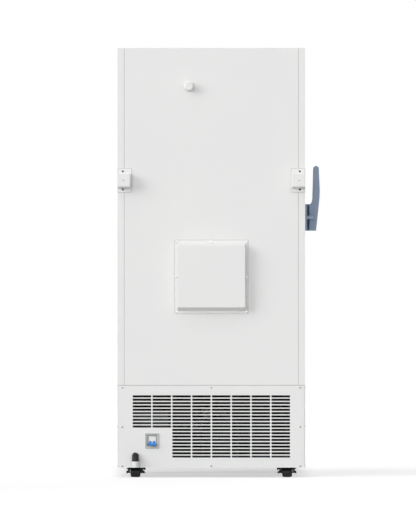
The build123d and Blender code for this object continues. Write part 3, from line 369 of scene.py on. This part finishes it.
copper = drawnTube("copperTube", {
    "colour": (222, 150, 112), "shade": (150, 92, 66), "metallic": 1.0,
    "roughness": (0.22, 0.46), "depth": 0.00004})
aluminium = brushedSheet("millAluminium", {
    "colour": (216, 218, 220), "shade": (196, 198, 201), "metallic": 1.0,
    "roughness": (0.30, 0.42), "grain": 14, "stretch": (1, 1, 26), "depth": 0.00003})
blackEnamel = powderCoat("blackEnamel", {
    "colour": (24, 24, 26), "shade": (17, 17, 19), "driftScale": 12,
    "roughness": (0.42, 0.56), "grain": 260, "depth": 0.0002, "specular": 0.25})
# galvanised plate, made darker than bare zinc so the base frame reads dark through the vent slots: partly
# painted shade of the machine room
dullPlate = spangledZinc("darkenedGalvanisedPlate", {
    "colour": (112, 115, 118), "shade": (88, 91, 94), "metallic": 1.0,
    "roughness": (0.52, 0.68), "grain": 40, "depth": 0.00008})
# copper made darker and greyer so the pipes read dark through the vent slots: painted shade of the machine
# room
dullCopper = drawnTube("darkenedCopper", {
    "colour": (98, 68, 54), "shade": (58, 45, 39), "metallic": 1.0,
    "roughness": (0.46, 0.68), "depth": 0.00004})
# grey for the strips in the rear seams and round the screwed pieces: painted shade of the gaps there
paintedShadeGrey = grainedFinish("paintedShadeStrip", {
    "colour": (158, 159, 158), "shade": (146, 147, 147), "driftScale": 14,
    "roughness": (0.60, 0.76), "grain": 500, "depth": 0.00008})
paleBead = grainedFinish("paleSealantBead", {
    "colour": (224, 225, 224), "shade": (214, 215, 214), "driftScale": 14,
    "roughness": (0.60, 0.76), "grain": 500, "depth": 0.00008})
paintedScrew = grainedFinish("paintedScrew", {
    "colour": (236, 236, 235), "shade": (222, 223, 222), "metallic": 0.7, "driftScale": 60,
    "roughness": (0.20, 0.30), "grain": 1200, "depth": 0.00003})
blackScrew = grainedFinish("blackenedScrew", {
    "colour": (38, 38, 40), "shade": (28, 28, 30), "driftScale": 60,
    "roughness": (0.34, 0.46), "grain": 1200, "depth": 0.00003, "specular": 0.3})
screwZinc = grainedFinish("brightZinc", {
    "colour": (190, 190, 188), "shade": (150, 151, 150), "metallic": 1.0, "driftScale": 90,
    "roughness": (0.24, 0.40), "grain": 1200, "depth": 0.00003})
bezelGrey = grainedFinish("greyBezelPlastic", {
    "colour": (182, 182, 182), "shade": (172, 172, 172), "driftScale": 20,
    "roughness": (0.42, 0.55), "grain": 1100, "depth": 0.00008})
breakerWhite = grainedFinish("whiteSwitchBody", {
    "colour": (236, 236, 233), "shade": (228, 228, 225), "driftScale": 30,
    "roughness": (0.24, 0.34), "grain": 1500, "depth": 0.00003})
toggleBlue = grainedFinish("blueToggle", {
    "colour": (34, 140, 226), "shade": (26, 122, 208), "driftScale": 40,
    "roughness": (0.26, 0.36), "grain": 1500, "depth": 0.00003})
elbowGrey = grainedFinish("darkGreyElbow", {
    "colour": (28, 29, 30), "shade": (20, 21, 22), "driftScale": 30,
    "roughness": (0.40, 0.55), "grain": 1100, "depth": 0.00006, "specular": 0.3})
sleeveWhite = grainedFinish("paleSleeve", {
    "colour": (228, 229, 229), "shade": (216, 217, 218), "driftScale": 30,
    "roughness": (0.40, 0.52), "grain": 1000, "depth": 0.00005})
blackPlastic = grainedFinish("blackNylon", {
    "colour": (22, 22, 24), "shade": (15, 15, 17), "driftScale": 18,
    "roughness": (0.38, 0.52), "grain": 900, "depth": 0.0001, "specular": 0.35})
treadBlack = grainedFinish("hardBlackTread", {
    "colour": (15, 15, 16), "shade": (22, 22, 22), "driftScale": 26,
    "roughness": (0.36, 0.52), "grain": 480, "depth": 0.00014, "specular": 0.35})
handleBlue = grainedFinish("blueGreyHandle", {
    "colour": (154, 171, 194), "shade": (147, 164, 188), "driftScale": 16,
    "roughness": (0.36, 0.48), "grain": 950, "depth": 0.0001})
screenBlack = grainedFinish("blackScreenGlass", {
    "colour": (16, 17, 19), "shade": (20, 21, 24), "driftScale": 6,
    "roughness": (0.08, 0.14), "grain": 300, "depth": 0.00001, "coat": 0.5})
filterGrey = rigidFoam("darkFilterMat", {
    "colour": (64, 66, 68), "shade": (44, 46, 48),
    "roughness": (0.85, 0.97), "grain": 330, "depth": 0.0012})
blackRubber = grainedFinish("blackRubber", {
    "colour": (34, 34, 35), "shade": (44, 44, 44), "driftScale": 30,
    "roughness": (0.66, 0.82), "grain": 700, "depth": 0.0001})
boxGrey = powderCoat("greyBoxPaint", {
    "colour": (72, 74, 77), "shade": (64, 66, 69), "driftScale": 9,
    "roughness": (0.46, 0.60), "grain": 520, "depth": 0.00014, "specular": 0.3})
footSteel = threadedSteel("threadedZinc", {
    "colour": (190, 192, 194), "shade": (160, 163, 166), "metallic": 1.0,
    "roughness": (0.28, 0.44), "grain": 105, "threadStart": 0.013, "depth": 0.0004})

casterCorners = ("rear_left", "rear_right", "front_left", "front_right")
nodeFinishes = {
    whitePaint: ("side_panel_left", "side_panel_right", "top_panel", "rear_panel", "service_cover",
                 "wall_spacers", "rear_vent_cover", "lower_side_panels", "door_shell", "front_grille"),
    whitePlastic: ("front_trim", "test_port_sleeve", "test_port_plug", "door_liner",
                   "inner_door_1", "inner_door_2", "inner_door_3", "inner_door_4"),
    dullPlate: ("base_frame",),
    stainless: ("inner_liner", "shelves", "heat_exchanger", "hinge_brackets"),
    creamFoam: ("cabinet_foam", "door_foam"),
    greySeal: ("inner_door_seals", "door_gasket"),
    copper: ("evaporator_tube",),
    dullCopper: ("refrigerant_pipes",),
    aluminium: ("condenser", "fan_blades"),
    blackEnamel: ("compressors", "fan_motor", "oil_separator"),
    screwZinc: ("panel_screws", "lock_barrel"),
    bezelGrey: ("breaker_bezel",),
    breakerWhite: ("breaker_body",),
    toggleBlue: ("breaker_toggle",),
    elbowGrey: ("cord_elbow",),
    sleeveWhite: ("conduit_sleeve",),
    blackPlastic: ("fan_shroud",) + tuple(f"caster_fork_{corner}" for corner in casterCorners),
    treadBlack: tuple(f"caster_wheel_{corner}" for corner in casterCorners),
    handleBlue: ("handle_lever", "latch_cam", "handle_base", "latch_strike"),
    screenBlack: ("display_panel",),
    filterGrey: ("air_filter",),
    blackRubber: ("compressor_mounts",),
    boxGrey: ("control_box",),
    footSteel: ("levelling_foot_left", "levelling_foot_right"),
}


def finishNodes(finishes):
    for material, names in finishes.items():
        for name in names:
            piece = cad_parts[name]
            if not piece.material_slots:
                piece.data.materials.append(material)
            for holder in piece.material_slots:
                holder.material = material


finishNodes(nodeFinishes)
finished = {name for names in nodeFinishes.values() for name in names}
print("finishes given to the frame's nodes; left over:", sorted(set(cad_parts) - finished))


def keepPiece(name, mesh, material, body):
    piece = bpy.data.objects.new(name, mesh)
    bpy.context.scene.collection.objects.link(piece)
    if not mesh.materials:
        mesh.materials.append(material)
    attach(piece, body)
    return piece


def meshFrom(name, maker):
    mesh = bpy.data.meshes.new(name)
    shape = bmesh.new()
    maker(shape)
    bmesh.ops.recalc_face_normals(shape, faces=shape.faces[:])
    shape.to_mesh(mesh)
    shape.free()
    return mesh


def smoothSides(mesh, degrees):
    mesh.shade_smooth()
    mesh.set_sharp_from_angle(angle=radians(degrees))


def ringLoop(shape, radius, height, count):
    return [shape.verts.new((radius * cos(2 * pi * k / count), radius * sin(2 * pi * k / count), height))
            for k in range(count)]


def joinLoops(shape, first, second):
    count = len(first)
    for k in range(count):
        shape.faces.new((first[k], first[(k + 1) % count], second[(k + 1) % count], second[k]))


def turnedShape(shape, profile, count):
    # a closed round piece about Z from (radius, height) pairs
    loops = [ringLoop(shape, radius, height, count) for radius, height in profile]
    for low, high in zip(loops, loops[1:]):
        joinLoops(shape, low, high)
    shape.faces.new(loops[0][::-1])
    shape.faces.new(loops[-1])


def addBlocks(shape, corners):
    # plain blocks from their low and high corners
    for low, high in corners:
        made = bmesh.ops.create_cube(shape, size=1)
        bmesh.ops.scale(shape, vec=[b - a for a, b in zip(low, high)], verts=made["verts"])
        bmesh.ops.translate(shape, vec=[(a + b) / 2 for a, b in zip(low, high)], verts=made["verts"])


def mirroredBlocks(xLimits, yLimits, zLimits):
    # the corners of one block on each side of the middle plane
    corners = []
    for side in (-1, 1):
        near, far = sorted(side * x for x in xLimits)
        corners.append(((near, yLimits[0], zLimits[0]), (far, yLimits[1], zLimits[1])))
    return corners


def addTube(shape, points, radius, sides):
    # a round tube along a line of points that lie in one plane, with closed ends
    loops = []
    flat = (Vector(points[1]) - Vector(points[0])).cross(Vector(points[-1]) - Vector(points[0]))
    flat = flat.normalized() if flat.length > 1e-9 else Vector((0, 0, 1))
    turns = [2 * pi * n / sides for n in range(sides)]
    for k, point in enumerate(points):
        before, after = Vector(points[max(k - 1, 0)]), Vector(points[min(k + 1, len(points) - 1)])
        across = (after - before).normalized().cross(flat).normalized()
        loops.append([shape.verts.new(Vector(point) + radius * (cos(turn) * flat + sin(turn) * across))
                      for turn in turns])
    for first, second in zip(loops, loops[1:]):
        joinLoops(shape, first, second)
    shape.faces.new(loops[0][::-1])
    shape.faces.new(loops[-1])


def sweptFrame(shape, limits, radius, profile, steps=5):
    # a closed section swept round a rectangle in the XZ plane: limits x0, x1, z0, z1; section (outward, y)
    x0, x1, z0, z1 = limits
    path = []
    for quarter in range(4):
        centreX = x1 - radius if quarter in (0, 3) else x0 + radius
        centreZ = z1 - radius if quarter in (0, 1) else z0 + radius
        for k in range(steps + 1):
            angle = (quarter + k / steps) * pi / 2
            outX, outZ = cos(angle), sin(angle)
            path.append((centreX + radius * outX, centreZ + radius * outZ, outX, outZ))
    loops = [[shape.verts.new((x + outward * outX, y, z + outward * outZ)) for x, z, outX, outZ in path]
             for outward, y in profile]
    for first, second in zip(loops, loops[1:] + loops[:1]):
        joinLoops(shape, first, second)


def startTree(name, sockets):
    # a Geometry Nodes tree with its named inputs and one output
    tree = bpy.data.node_groups.new(name, "GeometryNodeTree")
    for socketName, kind in sockets:
        tree.interface.new_socket(socketName, in_out="INPUT", socket_type="NodeSocket" + kind)
    tree.interface.new_socket("Pieces", in_out="OUTPUT", socket_type="NodeSocketGeometry")
    return tree, addNode(tree, "NodeGroupInput").outputs


def endTree(tree, given, instances):
    # the instances made real and painted, because the export drops instances
    real = addNode(tree, "GeometryNodeRealizeInstances")
    paint = addNode(tree, "GeometryNodeSetMaterial")
    end = addNode(tree, "NodeGroupOutput")
    tree.links.new(instances, real.inputs[0])
    tree.links.new(real.outputs[0], paint.inputs["Geometry"])
    tree.links.new(given["Finish"], paint.inputs["Material"])
    tree.links.new(paint.outputs[0], end.inputs[0])
    return tree


def scatterTree():
    # instances of one piece on every point, all facing one way, each spun a little differently
    tree, given = startTree("facingPieces", (
        ("Points", "Geometry"), ("Piece", "Object"), ("Facing", "Vector"), ("Spin", "Float"),
        ("Seed", "Int"), ("Finish", "Material")))
    piece = addNode(tree, "GeometryNodeObjectInfo")
    spin = addNode(tree, "FunctionNodeRandomValue", data_type="FLOAT")
    turned = addNode(tree, "ShaderNodeCombineXYZ")
    facing = addNode(tree, "FunctionNodeEulerToRotation")
    spun = addNode(tree, "FunctionNodeEulerToRotation")
    both = addNode(tree, "FunctionNodeRotateRotation", rotation_space="LOCAL")
    place = addNode(tree, "GeometryNodeInstanceOnPoints")
    link = tree.links.new
    link(given["Points"], place.inputs["Points"])
    link(given["Piece"], piece.inputs["Object"])
    link(piece.outputs["Geometry"], place.inputs["Instance"])
    link(given["Spin"], spin.inputs[3])
    link(given["Seed"], spin.inputs["Seed"])
    link(spin.outputs[1], turned.inputs["Z"])
    link(given["Facing"], facing.inputs[0])
    link(turned.outputs[0], spun.inputs[0])
    link(facing.outputs[0], both.inputs["Rotation"])
    link(spun.outputs[0], both.inputs["Rotate By"])
    link(both.outputs[0], place.inputs["Rotation"])
    return endTree(tree, given, place.outputs[0])


def linesTree():
    # instances of one piece on a row of rows: columns along one step, rows along the other
    tree, given = startTree("rowsOfPieces", (
        ("Piece", "Object"), ("Start", "Vector"), ("Columns", "Int"), ("Column Step", "Vector"),
        ("Rows", "Int"), ("Row Step", "Vector"), ("Finish", "Material")))
    piece = addNode(tree, "GeometryNodeObjectInfo")
    columns = addNode(tree, "GeometryNodeMeshLine")
    rows = addNode(tree, "GeometryNodeMeshLine")
    across = addNode(tree, "GeometryNodeInstanceOnPoints")
    down = addNode(tree, "GeometryNodeInstanceOnPoints")
    link = tree.links.new
    link(given["Piece"], piece.inputs["Object"])
    link(given["Columns"], columns.inputs["Count"])
    link(given["Start"], columns.inputs["Start Location"])
    link(given["Column Step"], columns.inputs["Offset"])
    link(given["Rows"], rows.inputs["Count"])
    link(given["Row Step"], rows.inputs["Offset"])
    link(rows.outputs[0], down.inputs["Points"])
    link(piece.outputs["Geometry"], down.inputs["Instance"])
    link(columns.outputs[0], across.inputs["Points"])
    link(down.outputs[0], across.inputs["Instance"])
    return endTree(tree, given, across.outputs[0])


scatterPieces = scatterTree()
rowsOfPieces = linesTree()


def pointMesh(name, places):
    mesh = bpy.data.meshes.new(name)
    mesh.from_pydata([tuple(place) for place in places], [], [])
    return mesh


def plainResult(name, places, tree, source, values, material, body):
    # runs the tree on a holder and keeps its result as a plain mesh; the source is never in the scene
    holder = bpy.data.objects.new(name + "Holder", pointMesh(name + "Points", places))
    bpy.context.scene.collection.objects.link(holder)
    modifier = holder.modifiers.new("build", "NODES")
    modifier.node_group = tree
    sockets = {item.name: item.identifier for item in tree.interface.items_tree
               if item.item_type == "SOCKET" and item.in_out == "INPUT"}
    for socketName, value in {"Piece": source, "Finish": material, **values}.items():
        modifier[sockets[socketName]] = value
    graph = bpy.context.evaluated_depsgraph_get()
    graph.update()
    mesh = bpy.data.meshes.new_from_object(holder.evaluated_get(graph), depsgraph=graph)
    mesh.name = name
    holder.modifiers.remove(modifier)
    bpy.data.objects.remove(holder)
    return keepPiece(name, mesh, material, body)


def rowsResult(name, mesh, start, material, body, columns=1, columnStep=0, rows=1, rowStep=0):
    # one source mesh repeated in columns along X and in rows along Z
    values = {"Start": start, "Columns": columns, "Column Step": (columnStep, 0, 0),
              "Rows": rows, "Row Step": (0, 0, rowStep)}
    source = bpy.data.objects.new(name + "Source", mesh)
    return plainResult(name, [(0, 0, 0)], rowsOfPieces, source, values, material, body)


# places that several dressed pieces share, from the frame
rearLow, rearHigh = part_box("rear_panel")
rearPlane = rearHigh.y
ventLow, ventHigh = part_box("rear_vent_cover")
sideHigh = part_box("lower_side_panels")[1]
coverLow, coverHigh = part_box("service_cover")
coverCentre = (coverLow.z + coverHigh.z) / 2
spacerLow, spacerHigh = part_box("wall_spacers")
spacerCentre = (spacerLow.z + spacerHigh.z) / 2

# pan heads with a cross recess: the rim is (share of the radius, height) from the sheet up; places are
# measured from the cabinet's middle and the floor, and a pitch is the step from one screw to the next
screwSettings = {
    "radius": 0.0045, "height": 0.0024, "recess": 0.0026, "recessWidth": 0.0009, "recessDepth": 0.0011,
    "recessTaper": 0.9, "sides": 20, "spin": 6.2, "seed": 7,
    "rim": [(0.94, 0), (1, 0.0004), (1, 0.00108), (0.90, 0.001872), (0.72, 0.00205)],
    "coverPitch": 0.161, "coverSheet": 0.0015,
    "spacerX": 0.408, "spacerPitch": 0.084, "spacerSheet": 0.003, "noseX": 0.4045, "noseDepth": 0.0032,
    "ventX": 0.410, "ventMiddle": 0.233, "ventPitch": 0.181,
    "sideY": (-0.419, 0.4175), "sideMiddle": 0.237, "sidePitch": 0.181,
    "hingeX": (0.382, 0.412), "hingeZ": (0.446, 0.470, 1.936, 1.960), "hingeSheet": 0.005, "hingeSeed": 3,
    "grilleX": (-0.36, 0.36), "grilleZ": 0.402, "grilleSpin": 0.4, "grilleSeed": 5,
}
towardsRear, towardsFront = (-pi / 2, 0, 0), (pi / 2, 0, 0)
towardsPlusX, towardsMinusX = (0, pi / 2, 0), (0, -pi / 2, 0)


def crossHead(shape):
    # a domed head; its top face is a cross of recessed quads set into a ring of rim points
    look = screwSettings
    sides = look["sides"]
    loops = [ringLoop(shape, look["radius"] * share, height, sides) for share, height in look["rim"]]
    for low, high in zip(loops, loops[1:]):
        joinLoops(shape, low, high)
    shape.faces.new(loops[0][::-1])
    arm, half = look["recess"], look["recessWidth"]
    top, bottom = look["height"], look["height"] - look["recessDepth"]
    outline = []
    for quarter in range(4):
        turn = Matrix.Rotation(quarter * pi / 2, 3, "Z")
        for x, y in ((arm, -half), (arm, half), (half, half)):
            outline.append(turn @ Vector((x, y, 0)))
    upper = [shape.verts.new((p.x, p.y, top)) for p in outline]
    taper = look["recessTaper"]
    lower = [shape.verts.new((p.x * taper, p.y * taper, bottom)) for p in outline]
    joinLoops(shape, upper, lower)
    shape.faces.new(lower)
    corners = len(outline)
    ring = [shape.edges.get((upper[k], upper[(k + 1) % corners])) for k in range(corners)]
    rim = [shape.edges.get((loops[-1][k], loops[-1][(k + 1) % sides])) for k in range(sides)]
    bmesh.ops.bridge_loops(shape, edges=ring + rim)


def addScrews():
    look = screwSettings
    headMesh = meshFrom("crossHead", crossHead)
    smoothSides(headMesh, degrees=40)
    head = bpy.data.objects.new("crossHeadSource", headMesh)
    around = [(x, z) for x in (-1, 0, 1) for z in (-1, 0, 1) if (x, z) != (0, 0)]
    vent = [(x * look["ventX"], rearPlane, look["ventMiddle"] + z * look["ventPitch"]) for x, z in around]
    cover = [(x * look["coverPitch"], rearPlane + look["coverSheet"], coverCentre + z * look["coverPitch"])
             for x, z in around]
    plateFace, noseFace = rearPlane + look["spacerSheet"], spacerHigh.y - look["noseDepth"]
    plates = [(side * look["spacerX"], plateFace, spacerCentre + z * look["spacerPitch"] / 2)
              for side in (-1, 1) for z in (-1, 1)]
    noses = [(side * look["noseX"], noseFace, spacerCentre) for side in (-1, 1)]
    flank = [(y, look["sideMiddle"] + z * look["sidePitch"]) for y in look["sideY"] for z in (-1, 0, 1)]
    hingeFace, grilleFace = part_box("hinge_brackets")[1].y - look["hingeSheet"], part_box("front_grille")[0].y
    hinges = [(x, hingeFace, z) for x in look["hingeX"] for z in look["hingeZ"]]
    grille = [(x, grilleFace, look["grilleZ"]) for x in look["grilleX"]]

    def placeHeads(name, places, facing, finish, body="cabinet", spin=look["spin"], seed=look["seed"]):
        values = {"Facing": facing, "Spin": spin, "Seed": seed}
        return plainResult(name, places, scatterPieces, head, values, finish, body)

    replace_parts(placeHeads("ventScrews", vent, towardsRear, screwZinc), "panel_screws")
    placeHeads("coverScrews", cover, towardsRear, paintedScrew)
    placeHeads("spacerScrews", plates, towardsRear, blackScrew)
    placeHeads("spacerNoseScrews", noses, towardsRear, screwZinc)
    placeHeads("screwsPlusX", [(sideHigh.x, y, z) for y, z in flank], towardsPlusX, paintedScrew)
    placeHeads("screwsMinusX", [(-sideHigh.x, y, z) for y, z in flank], towardsMinusX, paintedScrew)
    placeHeads("hingeScrews", hinges, towardsFront, screwZinc, seed=look["hingeSeed"])
    placeHeads("grilleFasteners", grille, towardsFront, screwZinc, "grille", look["grilleSpin"],
               look["grilleSeed"])
    groups = (vent, cover, plates, noses, flank, flank, hinges, grille)
    print("screws placed:", sum(len(places) for places in groups))


addScrews()

# grey strips in the rear seams and thin grey strips round the screwed pieces, both painted shade of the gaps
# at their edges, and pale beads at the vent cover's edges
seamSettings = {
    "seamClearance": 0.00005, "seamSunk": 0.00075, "seamFoot": 0.0002, "seamHead": 0.0012,
    "edgeClearance": 0.0001, "edgeDepth": 0.0125, "edgeFoot": 0.001, "edgeHead": 0.0002,
    "shadeLineWidth": 0.0011, "shadeLineUnder": 0.001, "shadeLineSunk": 0.0004, "shadeLineRise": 0.0007,
    "coverCorner": 0.0015, "plateWidth": 0.063, "plateCorner": 0.004,
}


def addSeams():
    look = seamSettings
    # grey strips sunk in the two rear seams: their grey is painted shade of the seam gaps
    gap = look["seamClearance"]
    seams = mirroredBlocks((rearHigh.x + gap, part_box("side_panel_right")[0].x - gap),
                           (rearLow.y, rearPlane - look["seamSunk"]),
                           (rearLow.z + look["seamFoot"], rearHigh.z - look["seamHead"]))
    keepPiece("seamBeads", meshFrom("seamBeads", lambda shape: addBlocks(shape, seams)), paintedShadeGrey,
              "cabinet")
    gap = look["edgeClearance"]
    edges = mirroredBlocks((ventHigh.x + gap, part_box("base_frame")[1].x - gap),
                           (sideHigh.y - look["edgeDepth"], sideHigh.y),
                           (ventLow.z + look["edgeFoot"], ventHigh.z - look["edgeHead"]))
    keepPiece("edgeBeads", meshFrom("edgeBeads", lambda shape: addBlocks(shape, edges)), paleBead,
              "cabinet")
    # thin grey strips round the service cover's flange and the spacer plates: painted shade lines along their
    # edges
    under, width = -look["shadeLineUnder"], look["shadeLineWidth"]
    sunk, risen = rearPlane - look["shadeLineSunk"], rearPlane + look["shadeLineRise"]
    section = [(under, sunk), (width, sunk), (width, risen), (under, risen)]

    def shadeLines(shape):
        sweptFrame(shape, (coverLow.x, coverHigh.x, coverLow.z, coverHigh.z), look["coverCorner"], section)
        inner = spacerHigh.x - look["plateWidth"]
        for near, far in ((-spacerHigh.x, -inner), (inner, spacerHigh.x)):
            sweptFrame(shape, (near, far, spacerLow.z, spacerHigh.z), look["plateCorner"], section)

    keepPiece("rearGaskets", meshFrom("rearGaskets", shadeLines), paintedShadeGrey, "cabinet")
    print("seam beads and gaskets made")


addSeams()

# the outer door's gasket: a folded bellows that carries a magnetic strip, as (outward, rise) pairs
gasketSettings = {
    "width": 0.030, "corner": 0.003,
    "section": [(0.002, 0), (0.028, 0), (0.028, 0.0012), (0.024, 0.0022), (0.0275, 0.0032),
                (0.0275, 0.0040), (0.030, 0.0052), (0.030, 0.0074), (0.0285, 0.008), (0.0195, 0.008),
                (0.0185, 0.0074), (0.0115, 0.0074), (0.0105, 0.008), (0.0015, 0.008), (0, 0.0074),
                (0, 0.0052), (0.0025, 0.0040), (0.0025, 0.0032), (0.006, 0.0022), (0.002, 0.0012)],
}


def addDoorGasket():
    look = gasketSettings
    low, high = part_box("door_gasket")
    width = look["width"]
    inner = (low.x + width, high.x - width, low.z + width, high.z - width)
    section = [(outward, low.y + rise) for outward, rise in look["section"]]
    mesh = meshFrom("doorBellows", lambda shape: sweptFrame(shape, inner, look["corner"], section))
    smoothSides(mesh, degrees=50)
    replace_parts(keepPiece("doorBellows", mesh, greySeal, "door"), "door_gasket")
    print("door gasket made")


addDoorGasket()

# the condenser: close thin fins on rows of copper tube that turn back outside the end plates
condenserSettings = {
    "plate": 0.0015, "finPitch": 0.0052, "finSheet": 0.00025, "finInset": 0.001, "bendRoom": 0.016,
    "bendInset": 0.0015, "bendSteps": 8, "tubeRadius": 0.0048, "tubeSides": 10, "rows": 7,
    "rowPitch": 0.040, "firstRow": 0.026, "depthPitch": 0.024,
}


def addCondenser():
    look = condenserSettings
    low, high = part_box("condenser")
    inner, plate = high.x - look["bendRoom"], look["plate"]
    plates = mirroredBlocks((inner - plate / 2, inner + plate / 2), (low.y, high.y), (low.z, high.z))
    plates += [((low.x, low.y, z), (high.x, high.y, z + plate)) for z in (low.z, high.z - plate)]
    keepPiece("condenserCasing", meshFrom("condenserCasing", lambda shape: addBlocks(shape, plates)),
              dullPlate, "cabinet")
    half, inset = look["finSheet"] / 2, look["finInset"]
    fin = ((-half, low.y + inset, low.z + plate), (half, high.y - inset, high.z - plate))
    count = int(2 * inner / look["finPitch"]) - 1
    finMesh = meshFrom("finSource", lambda shape: addBlocks(shape, [fin]))
    firstFin = (-(count - 1) * look["finPitch"] / 2, 0, 0)
    fins = rowsResult("condenserFins", finMesh, firstFin, aluminium, "cabinet",
                      columns=count, columnStep=look["finPitch"])
    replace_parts(fins, "condenser")
    middle, bend, start = (low.y + high.y) / 2, look["depthPitch"] / 2, low.z + look["firstRow"]
    radius, sides, steps = look["tubeRadius"], look["tubeSides"], look["bendSteps"]

    def tubeRow(shape):
        # one pass out and back through the fins, with its two end bends
        for y in (middle - bend, middle + bend):
            addTube(shape, [(x, y, start) for x in (-inner, 0, inner)], radius, sides)
        for side in (-1, 1):
            arc = [(side * (inner + sin(pi * k / steps) * (bend - look["bendInset"])),
                    middle - cos(pi * k / steps) * bend, start) for k in range(steps + 1)]
            addTube(shape, arc, radius, sides)

    tubeMesh = meshFrom("tubeSource", tubeRow)
    smoothSides(tubeMesh, degrees=50)
    rowsResult("condenserTubes", tubeMesh, (0, 0, 0), copper, "cabinet",
               rows=look["rows"], rowStep=look["rowPitch"])
    print("condenser made:", count, "fins,", look["rows"], "tube rows")


addCondenser()

# the control display: a lit screen behind the glass with a level chart, and a row of keys under it
displaySettings = {
    "sunk": 0.0008, "margin": 0.016, "sheet": 0.0002, "paneColour": (26, 58, 84),
    "bars": 22, "barPitch": 0.0056, "barWidth": 0.0034, "chartDrop": 0.014, "barHeight": 0.020,
    "wave": 0.010, "waveStep": 0.55, "ripple": 0.004, "rippleStep": 1.7, "barColour": (150, 206, 226),
    "keyRadius": 0.0042, "keyWall": 0.0006, "keyHeight": 0.0009, "keyTop": 0.9, "keySides": 20,
    "keyCount": 5, "keyPitch": 0.024, "keyDrop": 0.036,
}


def litFinish(name, colour):
    # a lit part of the screen, whose glow drifts a little over its surface
    material, tree, shader, place = startFinish(name, {"specular": 0.3})
    drift = spread(tree, noiseAt(tree, place, scale=40, detail=2), 0.92, 1)
    glow = tint(tree, drift, (0, 0, 0, 1), linearColour(*colour))
    tree.links.new(glow, shader.inputs["Emission Color"])
    tree.links.new(spread(tree, drift, 0.2, 0.3), shader.inputs["Roughness"])
    shader.inputs["Emission Strength"].default_value = 1.0
    shader.inputs["Base Color"].default_value = (0.01, 0.012, 0.015, 1)  # nearly black glass
    return material


def addDisplay():
    look = displaySettings
    low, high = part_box("display_panel")
    face, centre, margin, sheet = low.y + look["sunk"], (low.z + high.z) / 2, look["margin"], look["sheet"]
    pane = [((low.x + margin, face, low.z + margin), (high.x - margin, face + sheet, high.z - margin))]
    keepPiece("screenPane", meshFrom("screenPane", lambda shape: addBlocks(shape, pane)),
              litFinish("screenBlue", look["paneColour"]), "door")
    start, foot = -(look["bars"] - 1) * look["barPitch"] / 2, centre - look["chartDrop"]
    half = look["barWidth"] / 2

    def chart(shape):
        bars = []
        for k in range(look["bars"]):
            height = (look["barHeight"] + look["wave"] * sin(k * look["waveStep"])
                      + look["ripple"] * cos(k * look["rippleStep"]))
            x = start + k * look["barPitch"]
            bars.append(((x - half, face - sheet, foot), (x + half, face, foot + height)))
        addBlocks(shape, bars)

    keepPiece("screenChart", meshFrom("screenChart", chart), litFinish("screenPale", look["barColour"]),
              "door")
    radius = look["keyRadius"]
    profile = [(radius, 0.0), (radius, look["keyWall"]), (radius * look["keyTop"], look["keyHeight"])]
    keyMesh = meshFrom("keySource", lambda shape: turnedShape(shape, profile, look["keySides"]))
    keyMesh.transform(Matrix.Rotation(pi / 2, 4, "X"))
    smoothSides(keyMesh, degrees=40)
    firstKey = (-(look["keyCount"] - 1) * look["keyPitch"] / 2, face, centre - look["keyDrop"])
    rowsResult("screenKeys", keyMesh, firstKey, bezelGrey, "door",
               columns=look["keyCount"], columnStep=look["keyPitch"])
    print("display dressed")


addDisplay()
